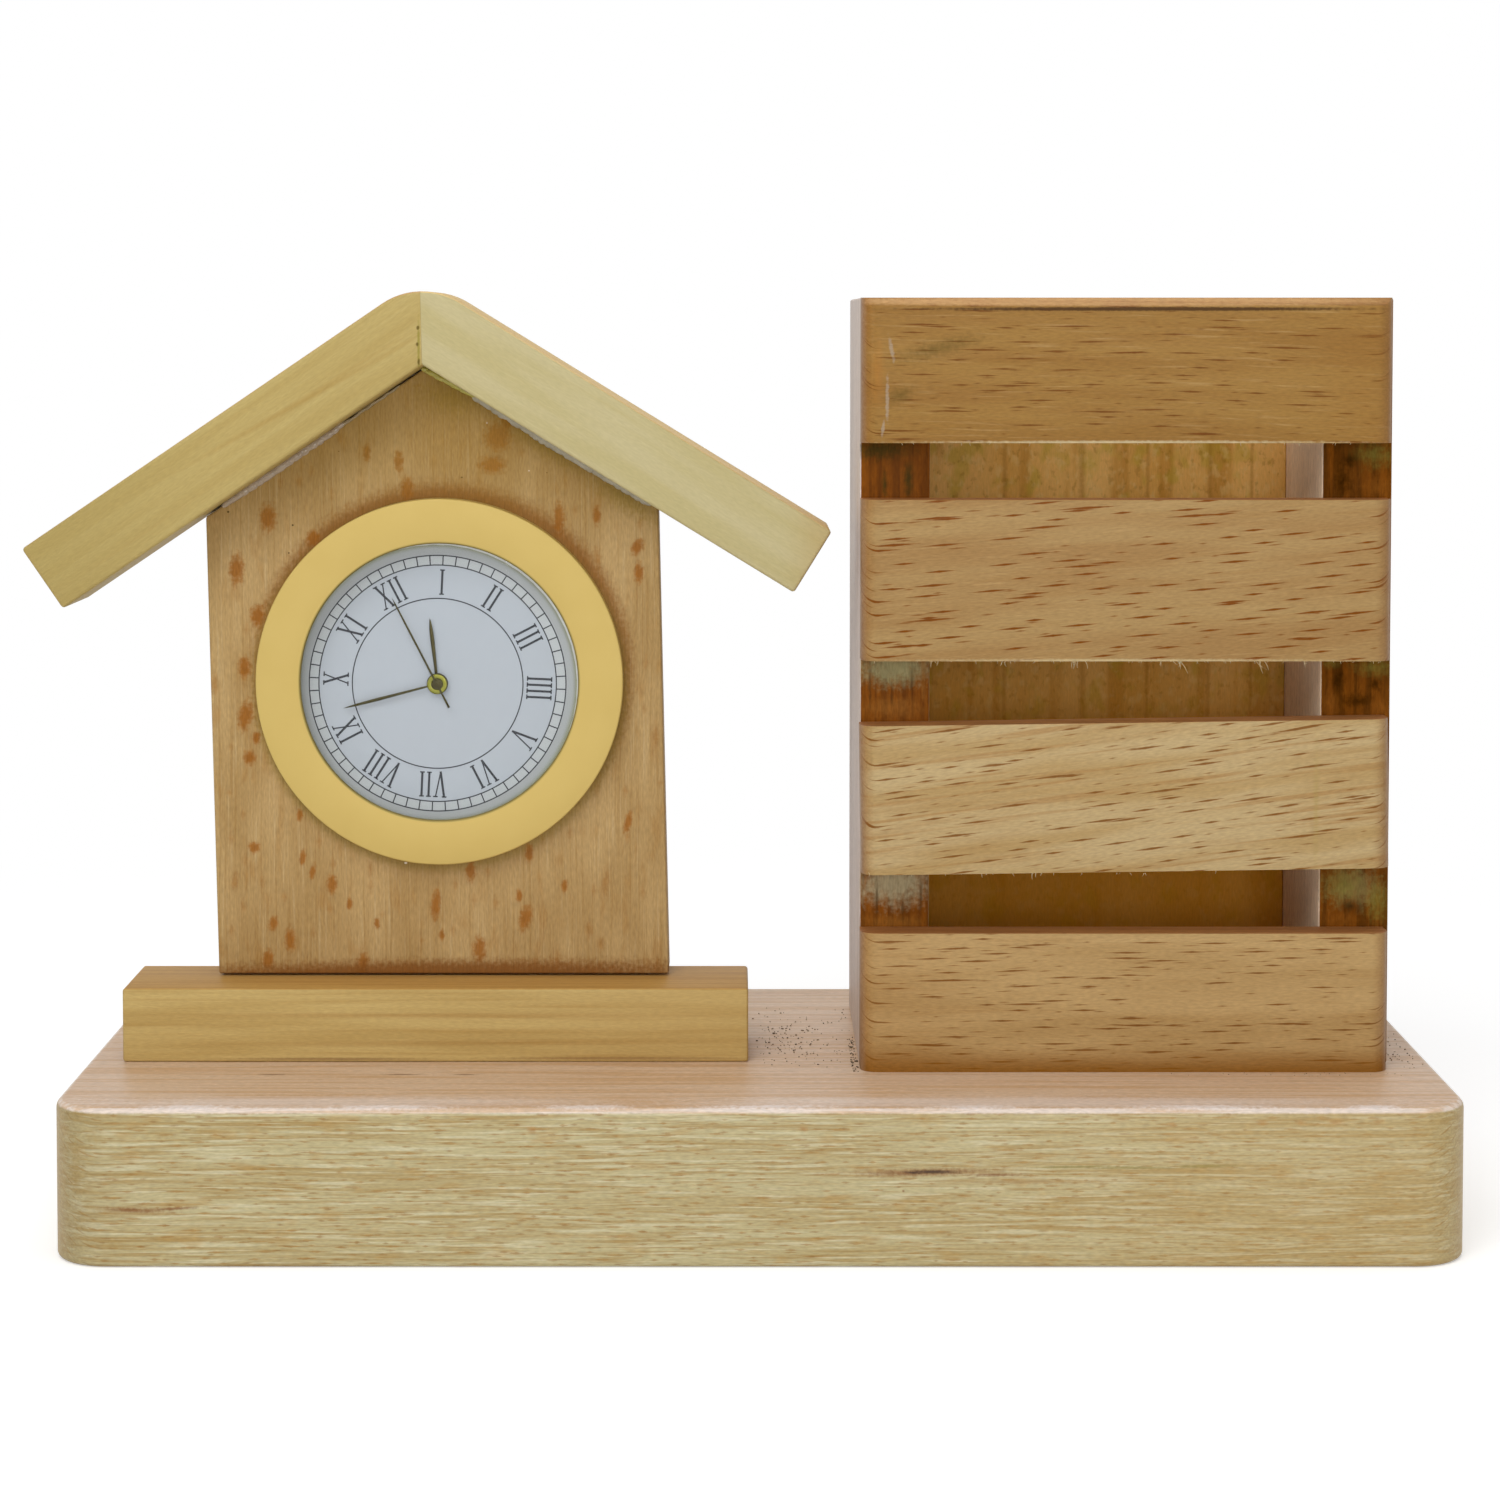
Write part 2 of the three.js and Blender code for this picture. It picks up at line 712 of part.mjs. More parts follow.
function mainPlate() {
  const rimInner = movementRadius - fit - caseShoulder / 2;
  const disc = bar(centreAt, movementRadius - fit, plateY, plateBack, roundSides);
  const rim = turned([
    [rimInner, dialBack + fit],
    [movementRadius - fit, dialBack + fit],
    [movementRadius - fit, plateY + plateThickness / 2],
    [rimInner, plateY + plateThickness / 2],
  ]);
  const posts = pillars.map((at) => bar(at, pillarRadius, plateY + plateThickness / 2, bridgeY));
  const stands = [-coreEnd, coreEnd].map((z) =>
    bar([coilX, z], statorArm, plateY + plateThickness / 2, statorY - fit),
  );
  const solid = joined(disc, rim, ...posts, ...stands);
  const through = [plateY, plateBack];
  return cut(
    solid,
    pivotHole(centreAt, ...through, centreTube),
    pivotHole(thirdAt, ...through),
    pivotHole(intermediateAt, ...through),
    pivotHole(rotorAt, ...through),
    pivotHole(motionAt, ...through),
    pivotHole(settingAt, ...through, knobArbor),
    ...pillars.map((at) => pivotHole(at, plateY, bridgeY, screwShank)),
  );
}

function trainBridge() {
  const places = [...pillars, thirdAt, intermediateAt, rotorAt, settingAt];
  const arms = places.map((at) => armBetween(centreAt, at, bridgeArm, bridgeY + fit, bridgeBack));
  const through = [bridgeY, bridgeBack];
  return cut(
    joined(...arms),
    pivotHole(centreAt, ...through),
    pivotHole(thirdAt, ...through),
    pivotHole(intermediateAt, ...through),
    pivotHole(rotorAt, ...through),
    pivotHole(settingAt, ...through, knobArbor),
    ...pillars.map((at) => pivotHole(at, ...through, screwShank)),
  );
}

function bridgeScrew(at) {
  const headFront = bridgeBack + fit;
  const head = bar(at, screwHead, headFront, headFront + screwHeight - fit);
  const shank = bar(at, screwShank, plateBack, headFront + screwHeight / 2);
  const [x, z] = at;
  const slot = block(
    [x - screwHead - cutBeyond, headFront + screwHeight / 2, z - screwSlot / 2],
    [x + screwHead + cutBeyond, headFront + screwHeight + cutBeyond, z + screwSlot / 2],
  );
  return cut(joined(head, shank), slot);
}

function stator() {
  const knee = [rotorAt[0] + magnetRadius + statorRing, -coreEnd];
  const back = statorY + statorThickness;
  const outline = joined(
    bar(rotorAt, ringReach, statorY, back, 24),
    armBetween(rotorAt, [coilX, coreEnd], statorArm, statorY, back),
    armBetween(rotorAt, knee, statorArm, statorY, back),
    armBetween(knee, [coilX, -coreEnd], statorArm, statorY, back),
  );
  return cut(outline, bore(rotorAt, magnetRadius + magnetGap, statorY, back, 24));
}

function coilCore() {
  const end = coreEnd + statorArm;
  return block([coilX - coreWidth / 2, coreY, -end], [coilX + coreWidth / 2, coreY + coreThickness, end]);
}

function coilWinding() {
  const winding = new THREE.CylinderGeometry(coilRadius, coilRadius, coilLength, 24);
  winding.rotateX(Math.PI / 2).translate(coilX, coilY, 0);
  const half = coreWidth / 2 + fit;
  const hole = block(
    [coilX - half, coreY - fit, -coilLength],
    [coilX + half, coreY + coreThickness + fit, coilLength],
  );
  return cut(winding, hole);
}

const stripX = cellAt[0] - clipOffset;
const boardTop = cellAt[1] - cellRadius - boardGap;
const boardRight = pillars[2][0] - pillarRadius - looseFit;

function circuitBoard() {
  const reach = movementRadius - movementMargin;
  const left = -Math.sqrt(reach ** 2 - (boardTop - boardEdge) ** 2);
  const foot = -Math.sqrt(reach ** 2 - boardRight ** 2);
  const shape = polygon([
    [left, boardTop],
    [left, boardTop - boardEdge],
    [boardRight, foot],
    [boardRight, boardTop],
  ]);
  return slab(shape, plateBack + fit, plateBack + fit + boardThickness);
}

function quartzCrystal() {
  const can = new THREE.CylinderGeometry(crystalRadius, crystalRadius, crystalLength, 16);
  const y = plateBack + boardThickness + 2 * fit + crystalRadius;
  const z = boardTop - crystalRadius - crystalLength / 2;
  return can.rotateX(Math.PI / 2).translate(boardRight - 2 * crystalRadius, y, z);
}

function buttonCell() {
  return bar(cellAt, cellRadius, cellY, cellY + cellThickness, 36);
}

function positiveClip() {
  const top = cellAt[1] + cellRadius + fit + clipThickness;
  const back = clipY + clipThickness;
  const low = [stripX - clipWidth / 2, clipY, cellAt[1]];
  return joined(
    block(low, [stripX + clipWidth / 2, back, top]),
    block([low[0], plateBack + fit, top - clipThickness], [stripX + clipWidth / 2, back, top]),
  );
}

function negativeClip() {
  return block(
    [stripX - clipWidth / 2, plateBack + fit, boardTop + fit],
    [stripX + clipWidth / 2, plateBack + fit + clipThickness, cellAt[1] + cellRadius / 2],
  );
}

// Assembly
const model = new THREE.Group();

function place(parent, name, geometry, material) {
  const mesh = new THREE.Mesh(geometry, material);
  mesh.name = name;
  parent.add(mesh);
  return mesh;
}

place(model, 'base_plank', basePlank(), beechPale);
place(model, 'hut_plinth', plinth(), pine);

const stand = new THREE.Group();
stand.position.set(standX, panelFrontY, plinthTop + glueThickness);
stand.rotation.y = -lean;
model.add(stand);
place(stand, 'hut_panel', clockPanel(), beech);
place(stand, 'roof_slat_left', roofSlat(-1), pine);
place(stand, 'roof_slat_right', roofSlat(1), pine);

place(model, 'holder_side_left', holderSide(-1), beech);
place(model, 'holder_side_right', holderSide(1), beech);
place(model, 'holder_back', holderBack(), beech);
let slatBottom = baseHeight;
slatHeights.forEach((height, index) => {
  const isTop = index === slatHeights.length - 1;
  const slat = place(model, `holder_slat_${index + 1}`, holderSlat(height, isTop), beech);
  slat.position.set(holderX, holderFrontY, slatBottom + height / 2);
  slat.rotation.y = -slatTilts[index] * degree;
  slatBottom += height + (slatGaps[index] ?? 0);
});

const insert = new THREE.Group();
insert.position.set(clockOffset, 0, clockHeight);
stand.add(insert);
place(insert, 'clock_bezel', bezel(), gold).position.set(bezelAside, 0, bezelRise);
place(insert, 'clock_lens', lens(), clearLens);
place(insert, 'dial_spacer', dialSpacer(), whitePlastic);
place(insert, 'dial_plate', dial(), dialPaper);
place(insert, 'clock_case', clockCase(), blackPlastic);
place(insert, 'grip_ring', gripRing(), rubber);
place(insert, 'back_cover', backCover(), blackPlastic);
place(insert, 'hour_hand', clockHand(hourHand, hourHandBack, hourTube), darkBrass);
place(insert, 'minute_hand', clockHand(minuteHand, minuteHandBack, centreTube), darkBrass);
place(insert, 'second_hand', clockHand(secondHand, secondHandBack, secondsArbor), darkBrass);
place(insert, 'hour_wheel', hourWheel(), brass);
place(insert, 'motion_wheel', motionWheel(), brass);
place(insert, 'centre_wheel', centreWheel(), brass);
place(insert, 'third_wheel', thirdWheel(), brass);
place(insert, 'seconds_wheel', secondsWheel(), brass);
place(insert, 'intermediate_wheel', intermediateWheel(), brass);
place(insert, 'rotor', rotor(), steel);
place(insert, 'main_plate', mainPlate(), whitePlastic);
place(insert, 'train_bridge', trainBridge(), steel);
pillars.forEach((at, index) => {
  place(insert, `bridge_screw_${index + 1}`, bridgeScrew(at), steel);
});
place(insert, 'stator', stator(), steel);
place(insert, 'coil_core', coilCore(), steel);
place(insert, 'coil_winding', coilWinding(), copper);
place(insert, 'circuit_board', circuitBoard(), greenBoard);
place(insert, 'quartz_crystal', quartzCrystal(), steel);
place(insert, 'button_cell', buttonCell(), steel);
place(insert, 'clip_positive', positiveClip(), steel);
place(insert, 'clip_negative', negativeClip(), steel);
place(insert, 'setting_knob', settingKnob(), blackPlastic);

export default model;
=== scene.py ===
import math
import random

import bmesh
import bpy
from mathutils import Matrix, Vector


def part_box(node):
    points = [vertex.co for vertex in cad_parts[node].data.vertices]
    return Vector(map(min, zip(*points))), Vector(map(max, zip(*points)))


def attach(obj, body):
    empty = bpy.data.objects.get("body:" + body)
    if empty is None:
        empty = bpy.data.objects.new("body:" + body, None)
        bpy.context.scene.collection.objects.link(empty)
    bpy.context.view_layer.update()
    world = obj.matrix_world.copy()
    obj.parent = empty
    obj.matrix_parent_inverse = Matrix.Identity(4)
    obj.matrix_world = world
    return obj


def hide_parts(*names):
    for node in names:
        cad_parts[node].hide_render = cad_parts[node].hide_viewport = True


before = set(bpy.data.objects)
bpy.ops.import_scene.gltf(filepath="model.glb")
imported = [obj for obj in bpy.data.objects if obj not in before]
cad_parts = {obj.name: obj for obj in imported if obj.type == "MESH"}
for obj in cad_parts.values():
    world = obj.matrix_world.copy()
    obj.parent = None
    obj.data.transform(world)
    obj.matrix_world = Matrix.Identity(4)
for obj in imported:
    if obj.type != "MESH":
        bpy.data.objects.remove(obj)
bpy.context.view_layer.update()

# Pen holder with clock: the looks. Lengths are written in millimetres and turned to metres with mm.
mm = 0.001
sceneBodies = {"wood": "stand_and_box", "clock": "clock_insert"}
weld = 0.001 * mm  # corners nearer than this are one corner
near = 0.01 * mm  # places nearer than this are the same place
loose = 0.1 * mm  # how far a corner of a sawn face may be off its plane
white = (1, 1, 1, 1)


# helpers

def linearColour(code):
    channels = [int(code[at:at + 2], 16) / 255 for at in (1, 3, 5)]
    linear = [c / 12.92 if c <= 0.04045 else ((c + 0.055) / 1.055) ** 2.4 for c in channels]
    return (*linear, 1.0)


def addNode(tree, kind, settings=None, links=None):
    node = tree.nodes.new("ShaderNode" + kind)
    for key, value in (settings or {}).items():
        if isinstance(key, int) or key in node.inputs:
            node.inputs[key].default_value = value
        else:
            setattr(node, key, value)
    for key, source in (links or {}).items():
        tree.links.new(source, node.inputs[key])
    return node


def newMaterial(name):
    material = bpy.data.materials.new(name)
    material.use_nodes = True
    material.node_tree.nodes.clear()
    return material, material.node_tree


def middleOf(node):
    low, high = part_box(node)
    return (Vector(low) + Vector(high)) / 2


def addPiece(name, bm, material, body, standsFor=(), sharpAngle=35):
    mesh = bpy.data.meshes.new(name)
    bm.to_mesh(mesh)
    bm.free()
    mesh.shade_smooth()
    mesh.set_sharp_from_angle(angle=math.radians(sharpAngle))
    mesh.materials.append(material)
    piece = bpy.data.objects.new(name, mesh)
    bpy.context.scene.collection.objects.link(piece)
    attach(piece, body)
    if standsFor:
        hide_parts(*standsFor)


def copyOfNode(node):
    bm = bmesh.new()
    bm.from_mesh(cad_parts[node].data)
    bmesh.ops.remove_doubles(bm, verts=bm.verts, dist=weld)
    bmesh.ops.dissolve_limit(bm, angle_limit=math.radians(0.5), verts=bm.verts, edges=bm.edges)
    return bm


def sharpEdges(bm, least=35, wanted=None):
    limit = math.radians(least)
    return [
        edge for edge in bm.edges
        if len(edge.link_faces) == 2 and edge.calc_face_angle() > limit
        and (wanted is None or wanted(edge))
    ]


def softenEdges(bm, edges, width, segments=3):
    bmesh.ops.bevel(bm, geom=edges, offset=width * mm, offset_type="OFFSET", affect="EDGES",
                    segments=segments, profile=0.5, material=-1, clamp_overlap=True)


# camera and light

cameraLook = {
    "place": (-4.229, -486.39, 132.53),
    "pitch": 2.555,
    "lens": 77.195,
    "shift": (0.0132, -0.19),
}


def addCamera():
    data = bpy.data.cameras.new("camera")
    data.lens = cameraLook["lens"]
    data.sensor_width = 36
    data.shift_x, data.shift_y = cameraLook["shift"]
    data.clip_start = 0.01
    camera = bpy.data.objects.new("camera", data)
    camera.location = Vector(cameraLook["place"]) * mm
    camera.rotation_euler = (math.radians(90 - cameraLook["pitch"]), 0, 0)
    bpy.context.scene.collection.objects.link(camera)
    bpy.context.scene.camera = camera


lightLook = {
    "ambient": 0.38,
    "paper": "#f4f4f4",
    "paperGlow": 0.36,
    "plainWithin": 0.13,
    "whiteBeyond": 0.34,
    "paperHalf": 4,
    "paperBelow": 0.05,
    "aim": (0, 0, 0.06),
    "lamps": {
        "key": {"place": (-0.35, -0.95, 0.95), "size": 0.9, "power": 7.9},
        "front": {"place": (0.12, -1.25, 0.17), "size": 0.5, "power": 4.2},
        "top": {"place": (0.05, 0.1, 1.25), "size": 0.8, "power": 3.4},
    },
}


def addWorld(look):
    # white where it is seen, straight or in a reflection, and dimmer as the light that it gives
    world = bpy.data.worlds.new("studio")
    bpy.context.scene.world = world
    world.use_nodes = True
    tree = world.node_tree
    tree.nodes.clear()
    path = addNode(tree, "LightPath").outputs
    seen = addNode(tree, "Math", {"operation": "ADD"}, {0: path["Is Camera Ray"], 1: path["Is Glossy Ray"]})
    clear = addNode(tree, "Math", {"operation": "ADD", "use_clamp": True},
                    {0: seen.outputs[0], 1: path["Is Transmission Ray"]})
    light = addNode(tree, "Background", {"Color": white, "Strength": look["ambient"]})
    sky = addNode(tree, "Background", {"Color": white, "Strength": 1.0})
    both = addNode(tree, "MixShader", links={0: clear.outputs[0], 1: light.outputs[0], 2: sky.outputs[0]})
    addNode(tree, "OutputWorld", links={"Surface": both.outputs[0]})


def makePaper(look):
    # matt white studio paper: white far away, plain near the object so that it takes the shadow
    material, tree = newMaterial("studio_paper")
    place = addNode(tree, "TexCoord")
    reach = addNode(tree, "VectorMath", {"operation": "LENGTH"}, {0: place.outputs["Object"]})
    far = addNode(tree, "MapRange", {"interpolation_type": "SMOOTHSTEP", "From Min": look["plainWithin"],
                                     "From Max": look["whiteBeyond"]}, {"Value": reach.outputs["Value"]})
    path = addNode(tree, "LightPath").outputs
    seen = addNode(tree, "Math", {"operation": "MAXIMUM"},
                   {0: path["Is Camera Ray"], 1: path["Is Glossy Ray"]})
    share = addNode(tree, "Math", {"operation": "MULTIPLY"}, {0: far.outputs[0], 1: seen.outputs[0]})
    paper = addNode(tree, "BsdfDiffuse", {"Color": linearColour(look["paper"])})
    glow = addNode(tree, "Emission", {"Color": white, "Strength": 1.0})
    lift = addNode(tree, "Math", {"operation": "MULTIPLY", 1: look["paperGlow"]}, {0: seen.outputs[0]})
    soft = addNode(tree, "Emission", {"Color": white}, {"Strength": lift.outputs[0]})
    plain = addNode(tree, "AddShader", links={0: paper.outputs[0], 1: soft.outputs[0]})
    both = addNode(tree, "MixShader", links={0: share.outputs[0], 1: plain.outputs[0], 2: glow.outputs[0]})
    addNode(tree, "OutputMaterial", links={"Surface": both.outputs[0]})
    return material


def addFloor(look):
    bm = bmesh.new()
    bmesh.ops.create_grid(bm, x_segments=1, y_segments=1, size=look["paperHalf"])
    bmesh.ops.translate(bm, verts=bm.verts, vec=(0, 0, -look["paperBelow"] * mm))
    mesh = bpy.data.meshes.new("studio_floor")
    bm.to_mesh(mesh)
    bm.free()
    mesh.materials.append(makePaper(look))
    floor = bpy.data.objects.new("studio_floor", mesh)
    bpy.context.scene.collection.objects.link(floor)


def addLamp(name, look, aim):
    data = bpy.data.lights.new(name, "AREA")
    data.size = look["size"]
    data.energy = look["power"]
    lamp = bpy.data.objects.new(name, data)
    lamp.location = look["place"]
    towards = Vector(aim) - Vector(look["place"])
    lamp.rotation_euler = towards.to_track_quat("-Z", "Y").to_euler()
    bpy.context.scene.collection.objects.link(lamp)


addCamera()
addWorld(lightLook)
addFloor(lightLook)
for lampName, lampLook in lightLook["lamps"].items():
    addLamp(lampName, lampLook, lightLook["aim"])
bpy.context.scene.view_settings.view_transform = "Standard"
print("camera, floor and lamps are in place")


# wood: every board has its own grain, so each has a material laid up from the same few washes

def stain(tree, under, value, low, high, amount, code, second=None, cloud=None):
    # a wash of colour over another, from nothing where value is at low to its full amount at high; a second
    # colour clouds the first
    share = addNode(tree, "MapRange", {"interpolation_type": "SMOOTHSTEP", "From Min": low, "From Max": high,
                                       "To Max": amount}, {"Value": value})
    wash = addNode(tree, "Mix", {"data_type": "RGBA", 7: linearColour(code)}, {0: share.outputs[0], 6: under})
    if second:
        tone = addNode(tree, "Mix", {"data_type": "RGBA", 6: linearColour(code), 7: linearColour(second)},
                       {0: cloud})
        tree.links.new(tone.outputs[2], wash.inputs[7])
    return wash.outputs[2]


# shared by all the boards. Scales are per millimetre: along the grain, across it and into the board
woodLook = {
    "drift": (0.02, 0.06, 0.06),
    "ragged": 1.6,
    "film": (1 / 34, 1.1, 1.0),
    "filmFrom": (0.42, 0.62),
    "cloudFrom": (0.36, 0.64),
    "tintSpread": 0.35,
    "faceSpread": 0.2,
    "endFrom": (0.6, 0.95),
    "poreFrom": (0.35, 0.7),
    "fibre": (0.9, 4.0, 4.0),
    "relief": 0.8,
    "reliefDeep": 0.08,
}


def grainSpace(tree, look):
    # millimetres: x runs along the grain, y across it on the face, z into the board
    place = addNode(tree, "TexCoord").outputs["Object"]
    straight = addNode(tree, "Mapping", {
        "vector_type": "TEXTURE",
        "Location": Vector(look["centre"]) * mm,
        "Rotation": [math.radians(turn) for turn in look["turn"]],
        "Scale": (mm, mm, mm),
    }, {"Vector": place}).outputs[0]
    slow = addNode(tree, "Mapping", {"Scale": woodLook["drift"]}, {"Vector": straight})
    drift = addNode(tree, "TexNoise", {"Scale": 1.0, "Detail": 2.0}, {"Vector": slow.outputs[0]})
    push = addNode(tree, "Math", {"operation": "MULTIPLY", 1: look.get("wander", 2.0)},
                   {0: drift.outputs["Fac"]})
    sideways = addNode(tree, "CombineXYZ", links={"Y": push.outputs[0]})
    bent = addNode(tree, "VectorMath", {"operation": "ADD"}, {0: straight, 1: sideways.outputs[0]})
    ragged = addNode(tree, "TexNoise", {"Scale": woodLook["ragged"], "Detail": 3.0}, {"Vector": straight})
    stretch = addNode(tree, "Mapping", {"Scale": woodLook["film"]}, {"Vector": bent.outputs[0]})
    film = addNode(tree, "TexNoise", {"Scale": 1.0, "Detail": 2.0}, {"Vector": stretch.outputs[0]})
    low, high = woodLook["filmFrom"]
    veil = addNode(tree, "MapRange", {"interpolation_type": "SMOOTHSTEP", "From Min": low, "From Max": high},
                   {"Value": film.outputs["Fac"]})
    shape = addNode(tree, "NewGeometry")
    return {"place": place, "bent": bent.outputs[0], "drift": drift.outputs["Fac"], "veil": veil.outputs[0],
            "ragged": ragged.outputs["Fac"], "normal": shape.outputs["Normal"],
            "front": look.get("front", look["centre"][1])}


def layTones(tree, space, look):
    # two tones of the bare wood in broad clouds: their length, width and depth in millimetres
    stretch = addNode(tree, "Mapping", {"Scale": [1 / length for length in look["broad"]]},
                      {"Vector": space["bent"]})
    cloud = addNode(tree, "TexNoise", {"Scale": 1.0, "Detail": 2.0}, {"Vector": stretch.outputs[0]})
    low, high = woodLook["cloudFrom"]
    broad = addNode(tree, "MapRange", {"interpolation_type": "SMOOTHSTEP", "From Min": low, "From Max": high},
                    {"Value": cloud.outputs["Fac"]})
    light, dark = look["tones"]
    return addNode(tree, "Mix", {"data_type": "RGBA", 6: linearColour(light), 7: linearColour(dark)},
                   {0: broad.outputs[0]}).outputs[2]


def layStreaks(tree, space, colour, layer):
    # noise drawn out along the grain: one streak's length, width and depth in millimetres, then the noise at
    # which its wash starts and is full, the full amount and the colour
    size, low, high, amount, code = layer
    stretch = addNode(tree, "Mapping", {"Scale": [1 / length for length in size]}, {"Vector": space["bent"]})
    noise = addNode(tree, "TexNoise", {"Scale": 1.0, "Detail": 2.0, "Roughness": 0.55},
                    {"Vector": stretch.outputs[0]})
    space["relief"] = noise.outputs["Fac"]
    return stain(tree, colour, noise.outputs["Fac"], low, high, amount, code)


# where the dashes lie in their cells: the rows' offset, how low and how high a dash may be, how far away one
# that is left out counts, and the distance at which a dash's rim starts
fleckLook = {"stagger": 0.618, "loose": 0.3, "low": 0.28, "high": 0.72, "farAway": 9.0, "rim": 1.1}


def layFlecks(tree, space, colour, layer):
    # rays cut across: one pointed dash at most in each cell of a row. Each row is set off from the last. The
    # rows are turned 45 degrees about the grain, so that the narrow faces have them too
    long, high = layer["cell"]
    ragged = layer.get("ragged", 0.5)
    turned = addNode(tree, "Mapping", {
        "vector_type": "TEXTURE",
        "Rotation": (math.radians(45), 0, math.radians(layer.get("tilt", 0))),
        "Scale": (long, high * math.sqrt(0.5), 1),
    }, {"Vector": space["bent"]})
    spread = addNode(tree, "SeparateXYZ", links={0: turned.outputs[0]})
    row = addNode(tree, "Math", {"operation": "FLOOR"}, {0: spread.outputs["Y"]})
    setOff = addNode(tree, "TexWhiteNoise", {"noise_dimensions": "1D"}, {"W": row.outputs[0]})
    stagger = addNode(tree, "Math", {"operation": "MULTIPLY_ADD", 1: fleckLook["stagger"]},
                      {0: row.outputs[0], 2: spread.outputs["X"]})
    along = addNode(tree, "Math", {"operation": "MULTIPLY_ADD", 1: fleckLook["loose"]},
                    {0: setOff.outputs["Value"], 2: stagger.outputs[0]})
    rows = addNode(tree, "CombineXYZ", links={"X": along.outputs[0], "Y": spread.outputs["Y"]})
    cell = addNode(tree, "VectorMath", {"operation": "FLOOR"}, {0: rows.outputs[0]})
    dice = addNode(tree, "TexWhiteNoise", {"noise_dimensions": "2D"}, {"Vector": cell.outputs[0]})
    pick = addNode(tree, "SeparateColor", links={"Color": dice.outputs["Color"]})
    within = addNode(tree, "VectorMath", {"operation": "FRACTION"}, {0: rows.outputs[0]})
    rise = addNode(tree, "MapRange", {"To Min": fleckLook["low"], "To Max": fleckLook["high"]},
                   {"Value": pick.outputs[2]})
    middle = addNode(tree, "CombineXYZ", {"X": 0.5}, {"Y": rise.outputs[0]})
    apart = addNode(tree, "VectorMath", {"operation": "SUBTRACT"},
                    {0: within.outputs[0], 1: middle.outputs[0]})
    reach = addNode(tree, "VectorMath", {"operation": "ABSOLUTE"}, {0: apart.outputs[0]})
    away = addNode(tree, "SeparateXYZ", links={0: reach.outputs[0]})
    shortest, longest = [length / long / 2 for length in layer["length"]]
    half = addNode(tree, "MapRange", {"To Min": shortest, "To Max": longest}, {"Value": pick.outputs[1]})
    ends = addNode(tree, "Math", {"operation": "DIVIDE"}, {0: away.outputs["X"], 1: half.outputs[0]})
    sides = addNode(tree, "Math", {"operation": "MULTIPLY_ADD", 1: high / layer["thick"] * 2},
                    {0: away.outputs["Y"], 2: ends.outputs[0]})
    rough = addNode(tree, "Math", {"operation": "MULTIPLY_ADD", 1: ragged},
                    {0: space["ragged"], 2: sides.outputs[0]})
    skip = addNode(tree, "Math", {"operation": "GREATER_THAN", 1: layer["share"]}, {0: pick.outputs[0]})
    edge = addNode(tree, "Math", {"operation": "MULTIPLY_ADD", 1: fleckLook["farAway"]},
                   {0: skip.outputs[0], 2: rough.outputs[0]})
    return stain(tree, colour, edge.outputs[0], fleckLook["rim"] + ragged / 2,
                 layer.get("soft", 0.45) + ragged / 2, layer["amount"], layer["colour"])


def layMarks(tree, space, colour, layer):
    # marks at given places: the board's own stains, and in places painted highlight and shade. x and height
    # in millimetres, half length, half width and any turn
    total, ragged, grown = None, layer.get("ragged", 0.9), layer.get("grown", 1)
    for across, up, halfLong, halfWide, *turn in layer["spots"]:
        spot = addNode(tree, "Mapping", {
            "vector_type": "TEXTURE",
            "Location": Vector((across, layer.get("face", space["front"]), up)) * mm,
            "Rotation": (0, -math.radians(sum(turn)), 0),
            "Scale": Vector((halfLong * grown, layer.get("depth", 2.5), halfWide * grown)) * mm,
        }, {"Vector": space["place"]})
        away = addNode(tree, "VectorMath", {"operation": "LENGTH"}, {0: spot.outputs[0]}).outputs["Value"]
        if total:
            away = addNode(tree, "Math", {"operation": "MINIMUM"}, {0: total, 1: away}).outputs[0]
        total = away
    rough = addNode(tree, "Math", {"operation": "MULTIPLY_ADD", 1: ragged}, {0: space["ragged"], 2: total})
    return stain(tree, colour, rough.outputs[0], 1.0 + ragged / 2, layer.get("soft", 0) + ragged / 2,
                 layer["amount"], layer["colour"])


def layTints(tree, space, colour, tints):
    # washes over one end of the board, between two places along an axis
    spread = addNode(tree, "SeparateXYZ", links={0: space["place"]})
    for axis, start, end, code, amount in tints:
        uneven = addNode(tree, "Math", {"operation": "MULTIPLY_ADD",
                                        1: abs(end - start) * mm * woodLook["tintSpread"]},
                         {0: space["drift"], 2: spread.outputs[axis]})
        colour = stain(tree, colour, uneven.outputs[0], start * mm, end * mm, amount, code)
    return colour


def layFaces(tree, space, colour, faces):
    # streaky washes over the faces that look one way
    facing = addNode(tree, "SeparateXYZ", links={0: space["normal"]})
    for axis, start, end, codes, amount in faces:
        uneven = addNode(tree, "Math", {"operation": "MULTIPLY_ADD", 1: woodLook["faceSpread"]},
                         {0: space["ragged"], 2: facing.outputs[axis]})
        low, high = [value + woodLook["faceSpread"] / 2 for value in (start, end)]
        colour = stain(tree, colour, uneven.outputs[0], low, high, amount, *codes, space["veil"])
    return colour


